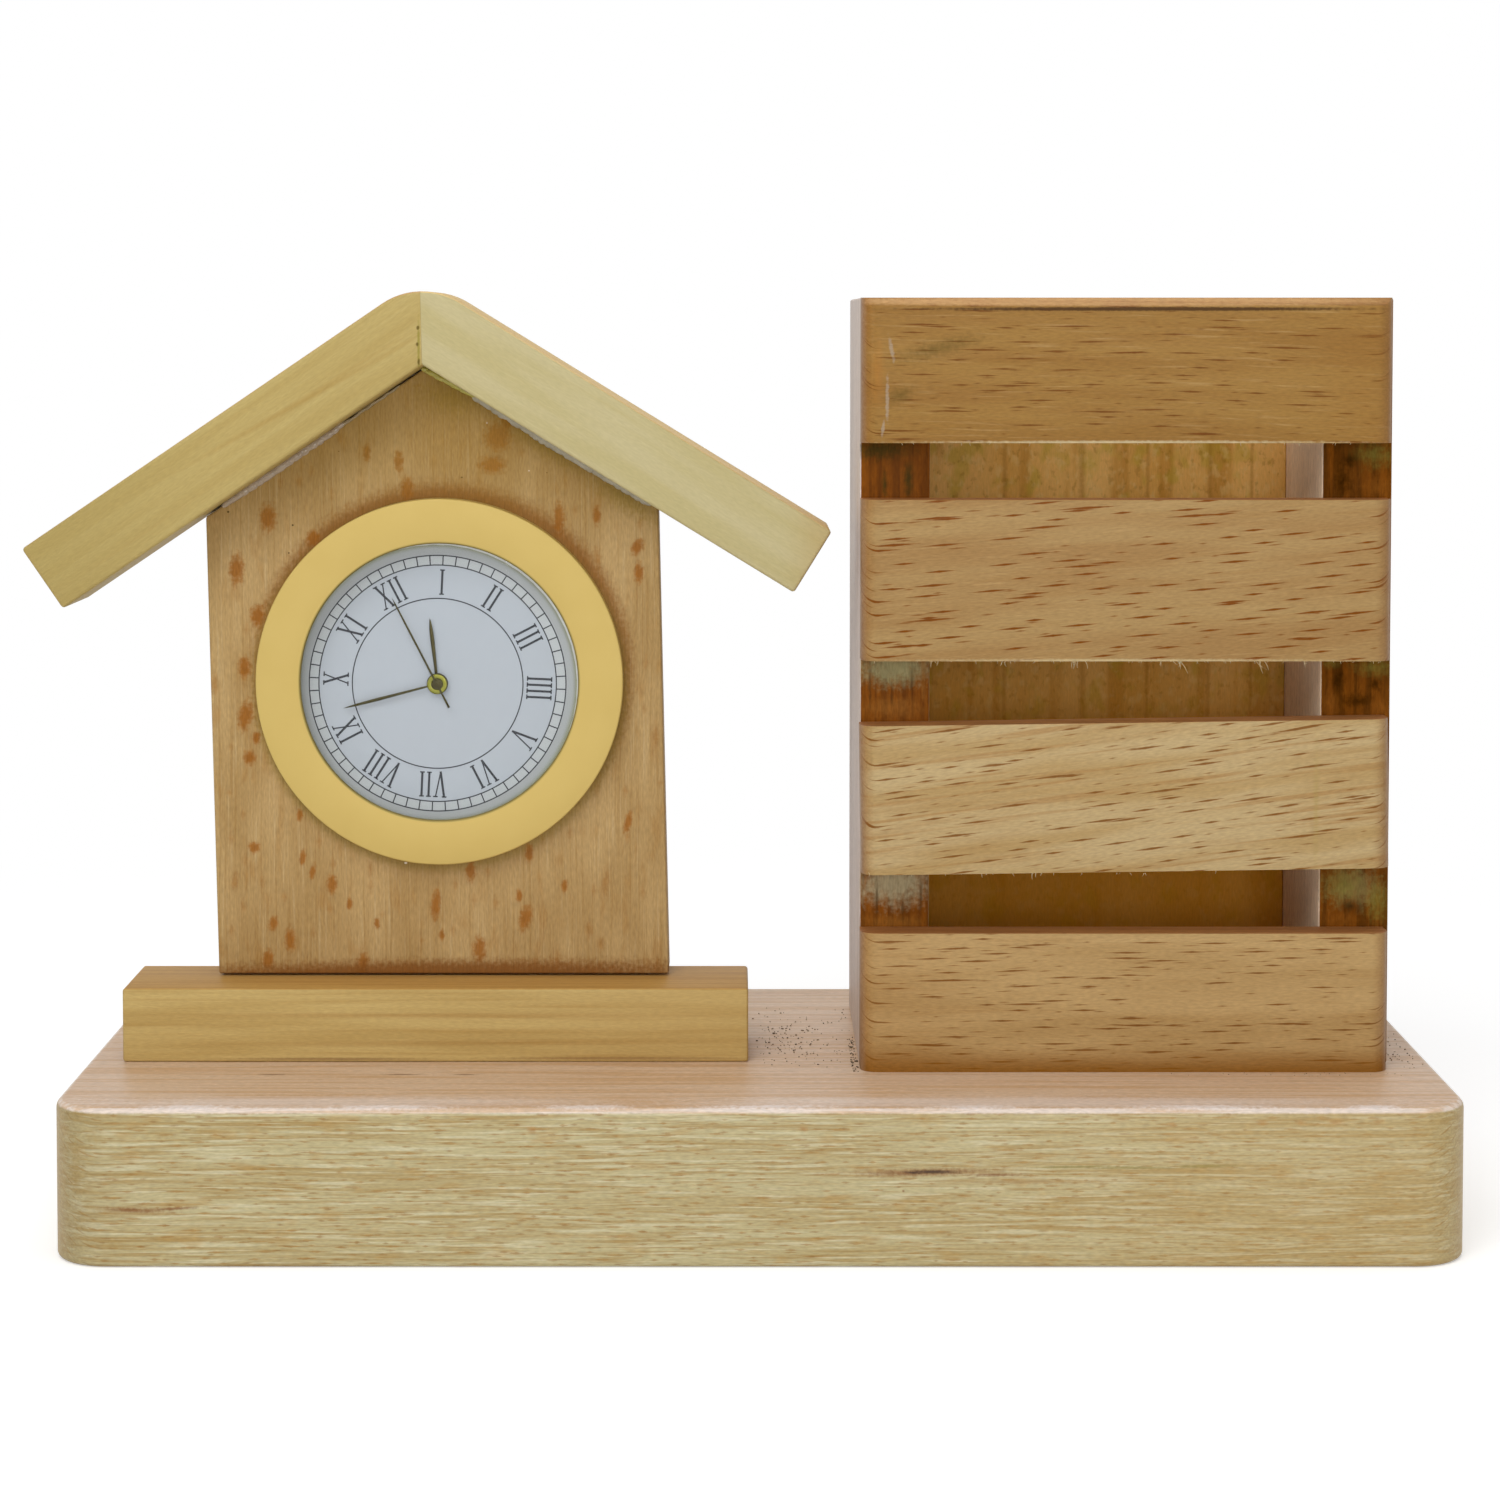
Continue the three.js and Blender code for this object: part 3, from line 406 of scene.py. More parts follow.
def layEnds(tree, space, colour, look):
    # end grain: pores close together instead of streaks
    ends = addNode(tree, "VectorMath", {"operation": "DOT_PRODUCT", 1: look["along"]}, {0: space["normal"]})
    cut = addNode(tree, "Math", {"operation": "ABSOLUTE"}, {0: ends.outputs["Value"]})
    low, high = woodLook["endFrom"]
    across = addNode(tree, "MapRange", {"interpolation_type": "SMOOTHSTEP", "From Min": low, "From Max": high,
                                        "To Max": look.get("endAmount", 0.55)}, {"Value": cut.outputs[0]})
    low, high = woodLook["poreFrom"]
    porous = addNode(tree, "MapRange", {"From Min": low, "From Max": high}, {"Value": space["ragged"]})
    light, dark = look["endTones"]
    mottled = addNode(tree, "Mix", {"data_type": "RGBA", 6: linearColour(light), 7: linearColour(dark)},
                      {0: porous.outputs[0]})
    return addNode(tree, "Mix", {"data_type": "RGBA"},
                   {0: across.outputs[0], 6: colour, 7: mottled.outputs[2]}).outputs[2]


def layFibres(tree, space, colour, look):
    # fibres a quarter of a millimetre wide: light and dark specks, and the surface's relief
    fine = addNode(tree, "Mapping", {"Scale": woodLook["fibre"]}, {"Vector": space["bent"]})
    speck = addNode(tree, "TexNoise", {"Scale": 1.0, "Detail": 1.0}, {"Vector": fine.outputs[0]})
    shade = addNode(tree, "MapRange", {"From Min": 0.25, "From Max": 0.75, "To Min": 1 - look["grit"],
                                       "To Max": 1 + look["grit"]}, {"Value": speck.outputs["Fac"]})
    shaded = addNode(tree, "VectorMath", {"operation": "SCALE"}, {0: colour, "Scale": shade.outputs[0]})
    relief = addNode(tree, "Math", {"operation": "MULTIPLY_ADD", 1: woodLook["relief"]},
                     {0: space["relief"], 2: speck.outputs["Fac"]})
    sawn = addNode(tree, "Bump", {"Strength": look.get("bump", 0.3), "Distance": woodLook["reliefDeep"] * mm,
                                  "invert": True}, {"Height": relief.outputs[0]})
    return shaded.outputs[0], sawn.outputs[0]


def makeWood(name, look):
    material, tree = newMaterial(name)
    space = grainSpace(tree, look)
    colour = layTones(tree, space, look)
    for lay, key in ((layStreaks, "streaks"), (layFlecks, "flecks"), (layMarks, "marks")):
        for layer in look.get(key, []):
            colour = lay(tree, space, colour, layer)
    colour = layTints(tree, space, colour, look.get("tints", []))
    colour = layFaces(tree, space, colour, look.get("faces", []))
    for layer in look.get("lastMarks", []):
        colour = layMarks(tree, space, colour, layer)
    colour, relief = layFibres(tree, space, layEnds(tree, space, colour, look), look)
    shine = addNode(tree, "MapRange", {"To Min": look["rough"] - 0.06, "To Max": look["rough"] + 0.1},
                    {"Value": space["drift"]})
    board = addNode(tree, "BsdfPrincipled", {"IOR": 1.5, "Specular IOR Level": look.get("gloss", 0.12)},
                    {"Base Color": colour, "Roughness": shine.outputs[0], "Normal": relief})
    addNode(tree, "OutputMaterial", links={"Surface": board.outputs[0]})
    return material


turnAlongWidth = (90, 0, 0)
turnUpright = (90, -90, 0)
turnUprightSide = (0, -90, 0)


def addBoard(name, node, look):
    bm = copyOfNode(node)
    if "arris" in look:
        # the upper front edge is planed rounder than the others
        front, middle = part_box(node)[0][1], middleOf(node).z
        upper = sharpEdges(bm, 35, lambda e: all(v.co.y < front + loose and v.co.z > middle for v in e.verts))
        softenEdges(bm, upper, look["arris"], 4)
    softenEdges(bm, sharpEdges(bm), look["edge"])
    addPiece(name, bm, makeWood(name + "_wood", look), sceneBodies["wood"], (node,), 50)


# beech, planed and varnished on top, left as sawn on its edges: pale and streaky in front, pinker on top
baseLook = {
    "centre": (0, -41, 11),
    "turn": turnAlongWidth,
    "along": (1, 0, 0),
    "tones": ("#b5a980", "#ac9b6e"),
    "broad": (60, 4, 10),
    "wander": 1.2,
    "streaks": [
        ((16, 0.45, 2), 0.5, 0.62, 0.55, "#9a7b41"),
        ((40, 1.0, 3), 0.5, 0.66, 0.45, "#9c8049"),
        ((14, 0.5, 2), 0.52, 0.64, 0.7, "#c6be9c"),
        ((7, 2.4, 4), 0.56, 0.7, 0.35, "#a88241"),
    ],
    "flecks": [
        {"cell": (7, 0.8), "length": (1.5, 5), "thick": 0.42, "share": 0.55, "amount": 0.55, "ragged": 1.2,
         "colour": "#976c28"},
        {"cell": (4, 0.6), "length": (1, 3), "thick": 0.34, "share": 0.4, "amount": 0.5, "ragged": 1.2,
         "colour": "#8d6428"},
    ],
    "marks": [
        {"colour": "#9a7a4a", "amount": 0.7,
         "spots": [(24, 13.6, 19, 0.9, 0.5), (-88, 8.1, 9, 0.9, -2), (38, 12.2, 16, 0.45)]},
        {"colour": "#7a4c24", "amount": 0.85,
         "spots": [(22.5, 13.5, 12, 0.75, 1.5), (-88, 8.2, 5.5, 0.45, -3), (33, 13.2, 6, 0.35),
                   (-82, 8.4, 5, 0.35, 3), (20, 10.9, 0.3, 0.25)]},
        {"colour": "#2c1a0f", "amount": 0.9, "spots": [(24.2, 13.6, 5.5, 0.4), (21.5, 13.5, 2.5, 0.3, -4)]},
        {"colour": "#7d7434", "amount": 0.75, "soft": 0.2, "ragged": 0.8,
         "spots": [(52, 14.2, 9, 0.3), (62, 14.4, 7, 0.35, 1), (44, 14.3, 8, 0.25, 1)]},
        {"colour": "#a4702f", "amount": 0.6, "ragged": 0.8,
         "spots": [(70.2, 20.6, 1.3, 0.6), (75.6, 20.5, 1.1, 0.6), (80.6, 20.6, 1.6, 0.7),
                   (86.4, 20.7, 1.2, 0.6), (57.5, 20.3, 1.2, 0.5), (-32, 19.6, 1.0, 0.8),
                   (6, 19.7, 0.9, 0.6)]},
        {"face": -38, "colour": "#9c7a35", "amount": 0.5, "depth": 6,
         "spots": [(-93, 18.5, 2.2, 2.2), (-96, 14, 1.2, 6), (-84, 18.8, 3.5, 1.3),
                   (-78, 19.2, 3.0, 0.9), (-90.5, 3.4, 3.0, 1.2)]},
    ],
    "tints": [
        ("X", -84, -100, "#877144", 0.6),
        ("X", 20, 95, "#b1935c", 0.35),
    ],
    "faces": [
        # painted highlight: a pale pinkish band on the rounded upper front arris
        ("Z", 0.3, 0.6, ("#e2d2c6", "#d2b498"), 0.9),
        ("Z", 0.9, 0.99, ("#ceb092", "#c5a07a"), 0.92),
    ],
    "lastMarks": [
        {"face": -20.4, "colour": "#7a5230", "amount": 0.75, "soft": 0.1, "ragged": 0.7, "depth": 0.7,
         "spots": [(-52.2, 22.5, 4, 0.8), (-43, 22.5, 2.6, 0.8), (-71, 22.5, 3, 0.8)]},
        # painted highlight: a pale band on the top along its front edge
        {"face": -37, "colour": "#dfcfc4", "amount": 0.65, "soft": 0.2, "ragged": 0.7, "depth": 4.6,
         "spots": [(-60, 22.5, 52, 1.5), (40, 22.5, 70, 1.5)]},
        # painted highlights: paler glints along the front arris
        {"face": -39.6, "colour": "#ece2de", "amount": 0.75, "soft": 0.2, "depth": 1.3,
         "spots": [(-80, 22.3, 9, 0.9), (-52, 22.3, 12, 0.9), (-24, 22.3, 10, 0.9), (1, 22.3, 13, 0.9),
                   (30, 22.3, 9, 0.9), (62, 22.3, 15, 0.9), (86, 22.3, 6, 0.9)]},
        {"face": -34.5, "colour": "#b98a57", "amount": 0.5, "soft": -0.2, "depth": 0.5,
         "spots": [(-70, 22.5, 18, 0.6), (-18, 22.5, 14, 0.6), (22, 22.5, 20, 0.6), (74, 22.5, 14, 0.6)]},
    ],
    "endTones": ("#b89c66", "#a58650"),
    "endAmount": 0.5,
    "grit": 0.13,
    "rough": 0.4,
    "gloss": 0.3,
    "round": 8,
    "topRound": 1.2,
    "bottomRound": 0.8,
}


def addBase(look):
    low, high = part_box("base_plank")
    bm = bmesh.new()
    bmesh.ops.create_cube(bm, size=1)
    bmesh.ops.scale(bm, verts=bm.verts, vec=Vector(high) - Vector(low))
    bmesh.ops.translate(bm, verts=bm.verts, vec=middleOf("base_plank"))
    upright = [edge for edge in bm.edges if abs(edge.verts[0].co.z - edge.verts[1].co.z) > mm]
    softenEdges(bm, upright, look["round"], 12)
    for height, width in ((high[2], look["topRound"]), (low[2], look["bottomRound"])):
        rim = sharpEdges(bm, 60, lambda e: all(abs(v.co.z - height) < near for v in e.verts))
        softenEdges(bm, rim, width, 6)
    addPiece("base_board", bm, makeWood("beech_base", look), sceneBodies["wood"],
             ("base_plank",), 50)


# pine strip: yellow sapwood with two brown growth lines, pinker where it was planed on top
plinthLook = {
    "centre": (-48, -12.6, 28),
    "turn": turnAlongWidth,
    "along": (1, 0, 0),
    "tones": ("#bca267", "#b1955a"),
    "broad": (50, 3, 6),
    "wander": 0.8,
    "streaks": [
        ((60, 1.1, 3), 0.5, 0.7, 0.4, "#a07c40"),
        ((24, 0.5, 2), 0.54, 0.72, 0.35, "#c4aa70"),
    ],
    "marks": [
        {"colour": "#946b32", "amount": 0.5, "soft": -0.3, "ragged": 0.3,
         "spots": [(-48, 29.5, 70, 0.7), (-40, 25.4, 66, 0.75, 0.4)]},
        {"colour": "#7c5a3a", "amount": 0.6, "soft": 0.2, "ragged": 0.6,
         "spots": [(-20, 23.1, 26, 0.35), (-64, 23.0, 20, 0.3)]},
    ],
    "tints": [
        ("X", -40, -2, "#ae8a50", 0.25),
    ],
    "faces": [
        ("Z", 0.5, 0.9, ("#bb8f4c", "#b08242"), 0.85),
    ],
    "endTones": ("#b08a52", "#8f6c3a"),
    "grit": 0.07,
    "rough": 0.48,
    "edge": 0.45,
}

# pine roof boards: nearly plain sapwood, an orange band along the upper arris, a dark line in the mitre
roofLeftLook = {
    "centre": (-70, -12.6, 110),
    "turn": (90, -34.15, 0),
    "along": (0.8275, 0, 0.5614),
    "tones": ("#b7a267", "#af985c"),
    "broad": (70, 3, 6),
    "wander": 0.8,
    "streaks": [
        ((60, 0.8, 3), 0.5, 0.74, 0.25, "#a78f52"),
        ((12, 0.4, 2), 0.55, 0.75, 0.2, "#c6b27a"),
    ],
    "marks": [
        {"colour": "#a07f3e", "amount": 0.6, "soft": -0.3, "ragged": 0.35, "depth": 4,
         "spots": [(-67.6, 120.6, 34, 0.75, 29.2)]},
        {"colour": "#c2974f", "amount": 0.7, "soft": -0.2, "ragged": 0.4, "depth": 4,
         "spots": [(-78, 122.6, 42, 1.0, 34.1)]},
        {"colour": "#a98a4c", "amount": 0.4, "soft": -0.3, "ragged": 0.4, "depth": 4,
         "spots": [(-60, 125.6, 26, 0.5, 31), (-92, 100.5, 24, 0.5, 34)]},
        {"colour": "#8f8433", "amount": 0.75, "soft": 0.3, "ragged": 0.7, "depth": 6,
         "spots": [(-50.1, 129, 0.28, 5.5), (-50.4, 125.2, 0.7, 0.5, 20)]},
        {"colour": "#5d4b18", "amount": 0.85, "soft": 0.4, "ragged": 0.7, "depth": 6,
         "spots": [(-50.2, 131.6, 0.3, 0.45), (-50.3, 129.2, 0.28, 0.4), (-50.1, 126.6, 0.25, 0.6)]},
    ],
    "tints": [
        ("X", -70, -100, "#a38f55", 0.6),
    ],
    "faces": [
        ("Z", 0.5, 0.85, ("#cda573", "#c0935f"), 0.8),
    ],
    "endTones": ("#b08b4c", "#9a7338"),
    "endAmount": 0.7,
    "grit": 0.06,
    "rough": 0.48,
    "edge": 0.5,
}

roofRightLook = {
    "centre": (-15, -12.6, 110),
    "turn": (90, 31.65, 0),
    "along": (0.8513, 0, -0.5247),
    "tones": ("#bdb186", "#b7aa7a"),
    "broad": (40, 4, 6),
    "wander": 1.2,
    "streaks": [
        ((24, 0.8, 3), 0.54, 0.76, 0.2, "#b5a26c"),
        ((6, 0.5, 1.5), 0.55, 0.75, 0.2, "#cfc497"),
    ],
    "marks": [
        {"colour": "#d0ac74", "amount": 0.7, "soft": -0.2, "ragged": 0.4, "depth": 4,
         "spots": [(-16, 121.4, 40, 0.9, -31.4)]},
        {"colour": "#b4a43e", "amount": 0.65, "depth": 3,
         "spots": [(-40, 117.3, 12, 0.45, -31.4), (-20, 105.0, 12, 0.35, -31.4),
                   (-47.6, 124.2, 1.6, 0.7, -20), (-44.8, 122.3, 1.2, 0.5, -31)]},
        {"colour": "#7c7427", "amount": 0.6, "soft": 0.2, "depth": 3,
         "spots": [(-49.2, 125.1, 0.6, 0.5), (-45.8, 122.6, 0.5, 0.3), (-37.4, 117.2, 0.8, 0.35)]},
    ],
    "tints": [
        ("X", 4, 11, "#b59a63", 0.5),
    ],
    "faces": [
        ("Z", 0.5, 0.85, ("#e4c384", "#d9b271"), 0.85),
    ],
    "endTones": ("#a98049", "#8f6636"),
    "endAmount": 0.75,
    "grit": 0.05,
    "rough": 0.5,
    "edge": 0.5,
}

# the clock stand leans a little to the left, as it was glued
standLook = {
    "foot": (-47.6, -3.0, 33.8),
    "lean": 1.25,
    "seamGap": 0.14,
    "seamReach": 0.3,
}
standPlace = (Matrix.Translation(Vector(standLook["foot"]) * mm)
              @ Matrix.Rotation(math.radians(-standLook["lean"]), 4, "Y"))


def addRoofBoard(name, node, look, side):
    # the mitred end is moved up to the other board's, so that the seam is a fine line
    bm = copyOfNode(node)
    toStand = standPlace.inverted()
    seam = [v for v in bm.verts if abs((toStand @ v.co).x) < standLook["seamReach"] * mm]
    shift = standPlace.to_3x3() @ Vector((-side * standLook["seamGap"] * mm, 0, 0))
    bmesh.ops.translate(bm, verts=seam, vec=shift)
    outer = sharpEdges(bm, 35, lambda e: not all(abs((toStand @ v.co).x) < loose for v in e.verts))
    softenEdges(bm, outer, look["edge"])
    addPiece(name, bm, makeWood(name + "_wood", look), sceneBodies["wood"], (node,), 50)


# quarter-cut beech: fine upright fibres and oval orange-brown ray flecks
panelLook = {
    "centre": (-48, -3, 75),
    "turn": turnUpright,
    "along": (0, 0, 1),
    "tones": ("#b29463", "#a58655"),
    "broad": (26, 8, 5),
    "wander": 1.2,
    "streaks": [
        ((26, 0.45, 2), 0.5, 0.7, 0.45, "#93703c"),
        ((14, 0.35, 1), 0.54, 0.72, 0.45, "#c0a87c"),
        ((7, 2.2, 3), 0.54, 0.72, 0.35, "#9a6e34"),
    ],
    "flecks": [
        {"cell": (7, 2.6), "length": (1.5, 4.5), "thick": 1.5, "share": 0.3, "amount": 0.45, "ragged": 1.2,
         "soft": -0.2, "colour": "#95632a"},
    ],
    "marks": [
        {"colour": "#7d4a0a", "amount": 0.8, "soft": 0.9, "ragged": 0.08, "depth": 9,
         "spots": [(-47.6, 80.0, 29.9, 29.6)]},
        {"colour": "#86702f", "amount": 0.6, "soft": 0.94, "ragged": 0.05, "depth": 9,
         "spots": [(-48.0, 77.6, 29.2, 29.0)]},
        # painted shade: darker olive below the right roof board
        {"colour": "#846d28", "amount": 0.75, "soft": -0.1, "depth": 9, "grown": 1.3,
         "spots": [(-46, 121, 7, 3.5, -15), (-32, 114, 10, 2.2, -31), (-20, 106, 8, 2.5, -31)]},
        {"colour": "#8f5612", "amount": 0.88, "soft": 0.3, "depth": 6, "grown": 1.45,
         "spots": [(-78.6, 95.2, 1.1, 2.3), (-75.5, 88.2, 1.1, 1.6), (-77.5, 80.4, 0.9, 1.6),
                   (-77.4, 73.1, 1.1, 2.2, -12), (-75.8, 69.7, 0.6, 0.9), (-76.8, 66.7, 0.9, 1.1),
                   (-73.8, 103.0, 1.2, 2.0), (-58.9, 112.8, 0.55, 1.3), (-54.1, 111.6, 0.7, 1.6),
                   (-52.8, 107.4, 0.9, 1.8), (-67.0, 99.9, 1.0, 1.2), (-39.2, 115.2, 2.0, 2.2),
                   (-40.0, 111.0, 2.0, 1.3), (-37.9, 117.3, 0.9, 1.4), (-24.3, 103.4, 0.55, 1.4),
                   (-18.2, 98.6, 0.85, 1.3, -30), (-18.0, 94.7, 0.7, 1.5), (-30.0, 103.0, 0.8, 2.4)]},
        {"colour": "#935a18", "amount": 0.85, "soft": 0.3, "depth": 6, "grown": 1.4,
         "spots": [(-76.2, 53.1, 0.9, 0.9), (-68.9, 51.5, 0.5, 1.2, -8), (-67.4, 49.4, 0.45, 1.2, -12),
                   (-64.5, 47.5, 0.8, 1.5), (-73.4, 41.5, 0.7, 1.2, -15), (-70.9, 39.0, 0.8, 1.8),
                   (-74.2, 36.0, 0.9, 1.5), (-59.9, 35.3, 0.75, 2.0, -8), (-61.8, 44.5, 0.5, 0.9),
                   (-48.8, 44.3, 0.7, 2.4, -4), (-57.7, 41.5, 0.45, 0.8), (-69.3, 58.0, 0.45, 0.9),
                   (-47.9, 39.7, 0.4, 0.9), (-52.4, 33.6, 0.9, 0.7), (-43.5, 49.4, 0.75, 1.6),
                   (-35.2, 42.3, 0.95, 2.0, -14), (-36.2, 45.7, 0.5, 1.0), (-42.2, 37.6, 1.0, 1.9),
                   (-19.7, 56.9, 0.6, 1.7, -14), (-29.3, 47.2, 0.5, 1.0), (-34.6, 52.3, 0.6, 1.4)]},
        {"colour": "#94652d", "amount": 0.6, "soft": -0.1, "depth": 6, "grown": 1.4,
         "spots": [(-79.1, 48.2, 0.6, 1.7), (-58.7, 49.8, 0.5, 1.5), (-23.1, 47.6, 0.8, 2.7, -6),
                   (-25.6, 40.6, 0.7, 1.5), (-39.7, 44.6, 0.5, 1.2), (-23.8, 38.4, 0.7, 1.2),
                   (-69.1, 108.5, 0.7, 1.0), (-62.9, 115.2, 0.5, 1.2), (-24.2, 97.2, 0.6, 2.1),
                   (-82.2, 77.8, 0.7, 1.9), (-30.5, 36.0, 0.8, 2.1), (-15.5, 70.0, 0.7, 2.3)]},
        {"colour": "#2f2414", "amount": 0.85, "soft": 0.5, "ragged": 0.5, "depth": 3,
         "spots": [(-79.8, 103.9, 0.25, 0.2), (-70.1, 101.9, 0.2, 0.2), (-70.7, 97.7, 0.14, 0.18),
                   (-31.8, 109.8, 0.12, 0.12), (-44.6, 109.1, 0.18, 0.14), (-63.1, 113.0, 0.12, 0.12)]},
        {"colour": "#e8e0d2", "amount": 0.85, "soft": 0.4, "ragged": 0.4, "depth": 3,
         "spots": [(-53.3, 50.7, 0.3, 0.18), (-40.8, 117.3, 0.14, 0.2), (-34.5, 110.1, 0.16, 0.14)]},
    ],
    "tints": [
        # painted shade: darker towards the apex, under the roof boards
        ("Z", 100, 122, "#94722a", 0.5),
    ],
    "lastMarks": [
        {"colour": "#7c4c1c", "amount": 0.9, "soft": 0.3, "ragged": 0.7, "depth": 4,
         "spots": [(-48, 33.9, 60, 2.9, 0.6)]},
    ],
    "endTones": ("#a5814e", "#8a6234"),
    "grit": 0.13,
    "rough": 0.52,
    "edge": 0.35,
    "holeRim": 29,
}


def addPanel(look):
    low, high = [Vector(corner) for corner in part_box("hut_panel")]
    axis = middleOf("dial_plate")
    source = copyOfNode("hut_panel")
    front = [v.co.copy() for v in source.verts if abs(v.co.y - low.y) < near]
    source.free()
    outside = look["holeRim"] * mm
    outline = [co for co in front if math.hypot(co.x - axis.x, co.z - axis.z) > outside]
    outline.sort(key=lambda co: math.atan2(co.z - axis.z, co.x - axis.x))
    holeRadius = min(math.hypot(co.x - axis.x, co.z - axis.z) for co in front)
    bm = bmesh.new()
    rim = [bm.verts.new(co) for co in outline]
    border = [bm.edges.new((rim[at], rim[(at + 1) % len(rim)])) for at in range(len(rim))]
    turn = Matrix.Translation((axis.x, low.y, axis.z)) @ Matrix.Rotation(math.radians(90), 4, "X")
    hole = bmesh.ops.create_circle(bm, segments=128, radius=holeRadius, matrix=turn)["verts"]
    ring = list({edge for v in hole for edge in v.link_edges})
    bmesh.ops.triangle_fill(bm, edges=border + ring, use_beauty=True)
    grown = bmesh.ops.extrude_face_region(bm, geom=list(bm.faces))["geom"]
    bmesh.ops.translate(bm, verts=[g for g in grown if isinstance(g, bmesh.types.BMVert)],
                        vec=(0, high.y - low.y, 0))
    bmesh.ops.recalc_face_normals(bm, faces=bm.faces)
    outer = sharpEdges(bm, 35, lambda e: all(math.hypot(v.co.x - axis.x, v.co.z - axis.z) > outside
                                             for v in e.verts))
    softenEdges(bm, outer, look["edge"])
    addPiece("panel_board", bm, makeWood("beech_panel", look), sceneBodies["wood"],
             ("hut_panel",), 40)


# beech slats, cut flat: thin pointed ray dashes, brown on honey
def slatLook(tones, centre, tilt, dash, amount, thick, small=0.25, streaks=(), marks=(), tints=()):
    return {
        "centre": centre,
        "turn": (90, -tilt, 0),
        "along": (1, 0, 0),
        "tones": tones,
        "broad": (50, 5, 8),
        "wander": 1.6,
        "streaks": [
            ((26, 1.6, 3), 0.5, 0.74, 0.3, "#966f3c"),
            ((10, 0.5, 2), 0.55, 0.75, 0.3, "#bd9c69"),
            *streaks,
        ],
        "flecks": [
            {"cell": (6, 0.85), "length": (1.4, 4.2), "thick": thick * 0.7, "share": small,
             "amount": amount * 0.65, "tilt": 1, "ragged": 0.4, "colour": dash},
            {"cell": (9.5, 1.2), "length": (3.6, 8), "thick": thick, "share": 0.5, "amount": amount,
             "tilt": 0.4, "ragged": 0.3, "soft": 0.5, "colour": dash},
            {"cell": (22, 3.1), "length": (6.5, 11), "thick": thick * 1.15, "share": 0.6, "amount": amount,
             "ragged": 0.3, "soft": 0.5, "colour": dash},
        ],
        "marks": list(marks),
        # the first two tints are painted shade, darker where the rounded ends turn away at the left and right
        "tints": [("X", 17.6, 15.2, "#94602f", 0.45), ("X", 89.9, 92.3, "#8c6440", 0.6), *tints],
        "faces": [
            ("Z", 0.6, 0.95, ("#a0683a", "#90582e"), 0.85),
        ],
        "endTones": ("#a98c72", "#94745a"),
        "grit": 0.11,
        "rough": 0.46,
        "edge": 0.3,
        "arris": 0.8,
    }


slatLooks = {
    "holder_slat_1": slatLook(("#b09160", "#a58554"), (54, -19, 32), 0.6, "#714310", 0.9, 0.34, 0.5,
                              tints=[("Z", 28, 23.4, "#80500a", 0.9), ("X", 40, 15, "#98672f", 0.2)]),
    "holder_slat_2": slatLook(("#b69e72", "#aa8d5c"), (-91, -19, 263), 7.5, "#764711", 0.9, 0.4, 0.35,
                              streaks=[((45, 1.1, 4), 0.54, 0.66, 0.55, "#9c7340")],
                              marks=[{"colour": "#a08a4c", "amount": 0.45, "soft": -0.2, "ragged": 0.6,
                                      "spots": [(81.4, 62, 0.7, 13)]}]),
    "holder_slat_3": slatLook(("#a48555", "#9a7748"), (152, -19, -95), 4.5, "#763f04", 1.0, 0.42,
                              marks=[{"colour": "#c9b78c", "amount": 0.6, "soft": 0.2,
                                      "spots": [(53.6, 83.1, 42, 0.4)]}]),
    "holder_slat_4": slatLook(("#98733a", "#8e6730"), (253, -19, 425), -1.0, "#6a3a08", 0.85, 0.32, 0.5,
                              marks=[{"colour": "#5e4a18", "amount": 0.7, "soft": -0.3, "ragged": 1.0,
                                      "spots": [(26, 128.6, 10, 2.0, 14), (20.5, 121.8, 3.5, 1.8, 20)]},
                                     {"colour": "#a8712f", "amount": 0.6, "soft": -0.2, "ragged": 0.6,
                                      "spots": [(17.2, 125, 1.5, 8)]},
                                     {"colour": "#a39079", "amount": 0.7, "soft": 0.3, "ragged": 1.2,
                                      "spots": [(18.6, 121, 0.35, 4.5), (19.2, 128.5, 0.4, 2.5, 12),
                                                (18.0, 117, 0.3, 1.6, -8)]},
                                     {"colour": "#c9b891", "amount": 0.75, "soft": 0.2,
                                      "spots": [(53.6, 114.95, 42, 0.4)]},
                                     # painted highlight along the top front arris
                                     {"face": -18.4, "colour": "#c89e6c", "amount": 0.8, "soft": 0.5,
                                      "ragged": 0.3, "spots": [(53.6, 135.5, 60, 0.95)]},
                                     {"colour": "#4a2f10", "amount": 0.95, "soft": 0.4,
                                      "ragged": 0.6, "spots": [(57, 134.35, 44, 0.4)]}],
                              tints=[("X", 80, 92, "#8f6329", 0.3)]),
}

# beech side boards: brown and stained on their front edges; pale on the faces that look left, a painted sheen
# of light seen at a slant, with some dust
holderSideLook = {
    "turn": turnUprightSide,
    "front": -13.5,
    "along": (0, 0, 1),
    "tones": ("#a98458", "#987048"),
    "broad": (40, 6, 5),
    "wander": 1.5,
    "streaks": [
        ((30, 1.0, 3), 0.5, 0.72, 0.4, "#86603a"),
        ((14, 0.35, 1.5), 0.54, 0.74, 0.35, "#bd9c74"),
    ],
    "faces": [
        ("Y", -0.5, -0.9, ("#7a4204", "#643400"), 0.97),
        # painted sheen: pale where the faces look left and are seen at a slant, with some dust
        ("X", -0.4, -0.8, ("#dfd2ca", "#cfc3bb"), 0.95),
    ],
    "endTones": ("#a3773f", "#83562a"),
    "endAmount": 0.6,
    "grit": 0.16,
    "gloss": 0.04,
    "rough": 0.45,
    "edge": 0.35,
}
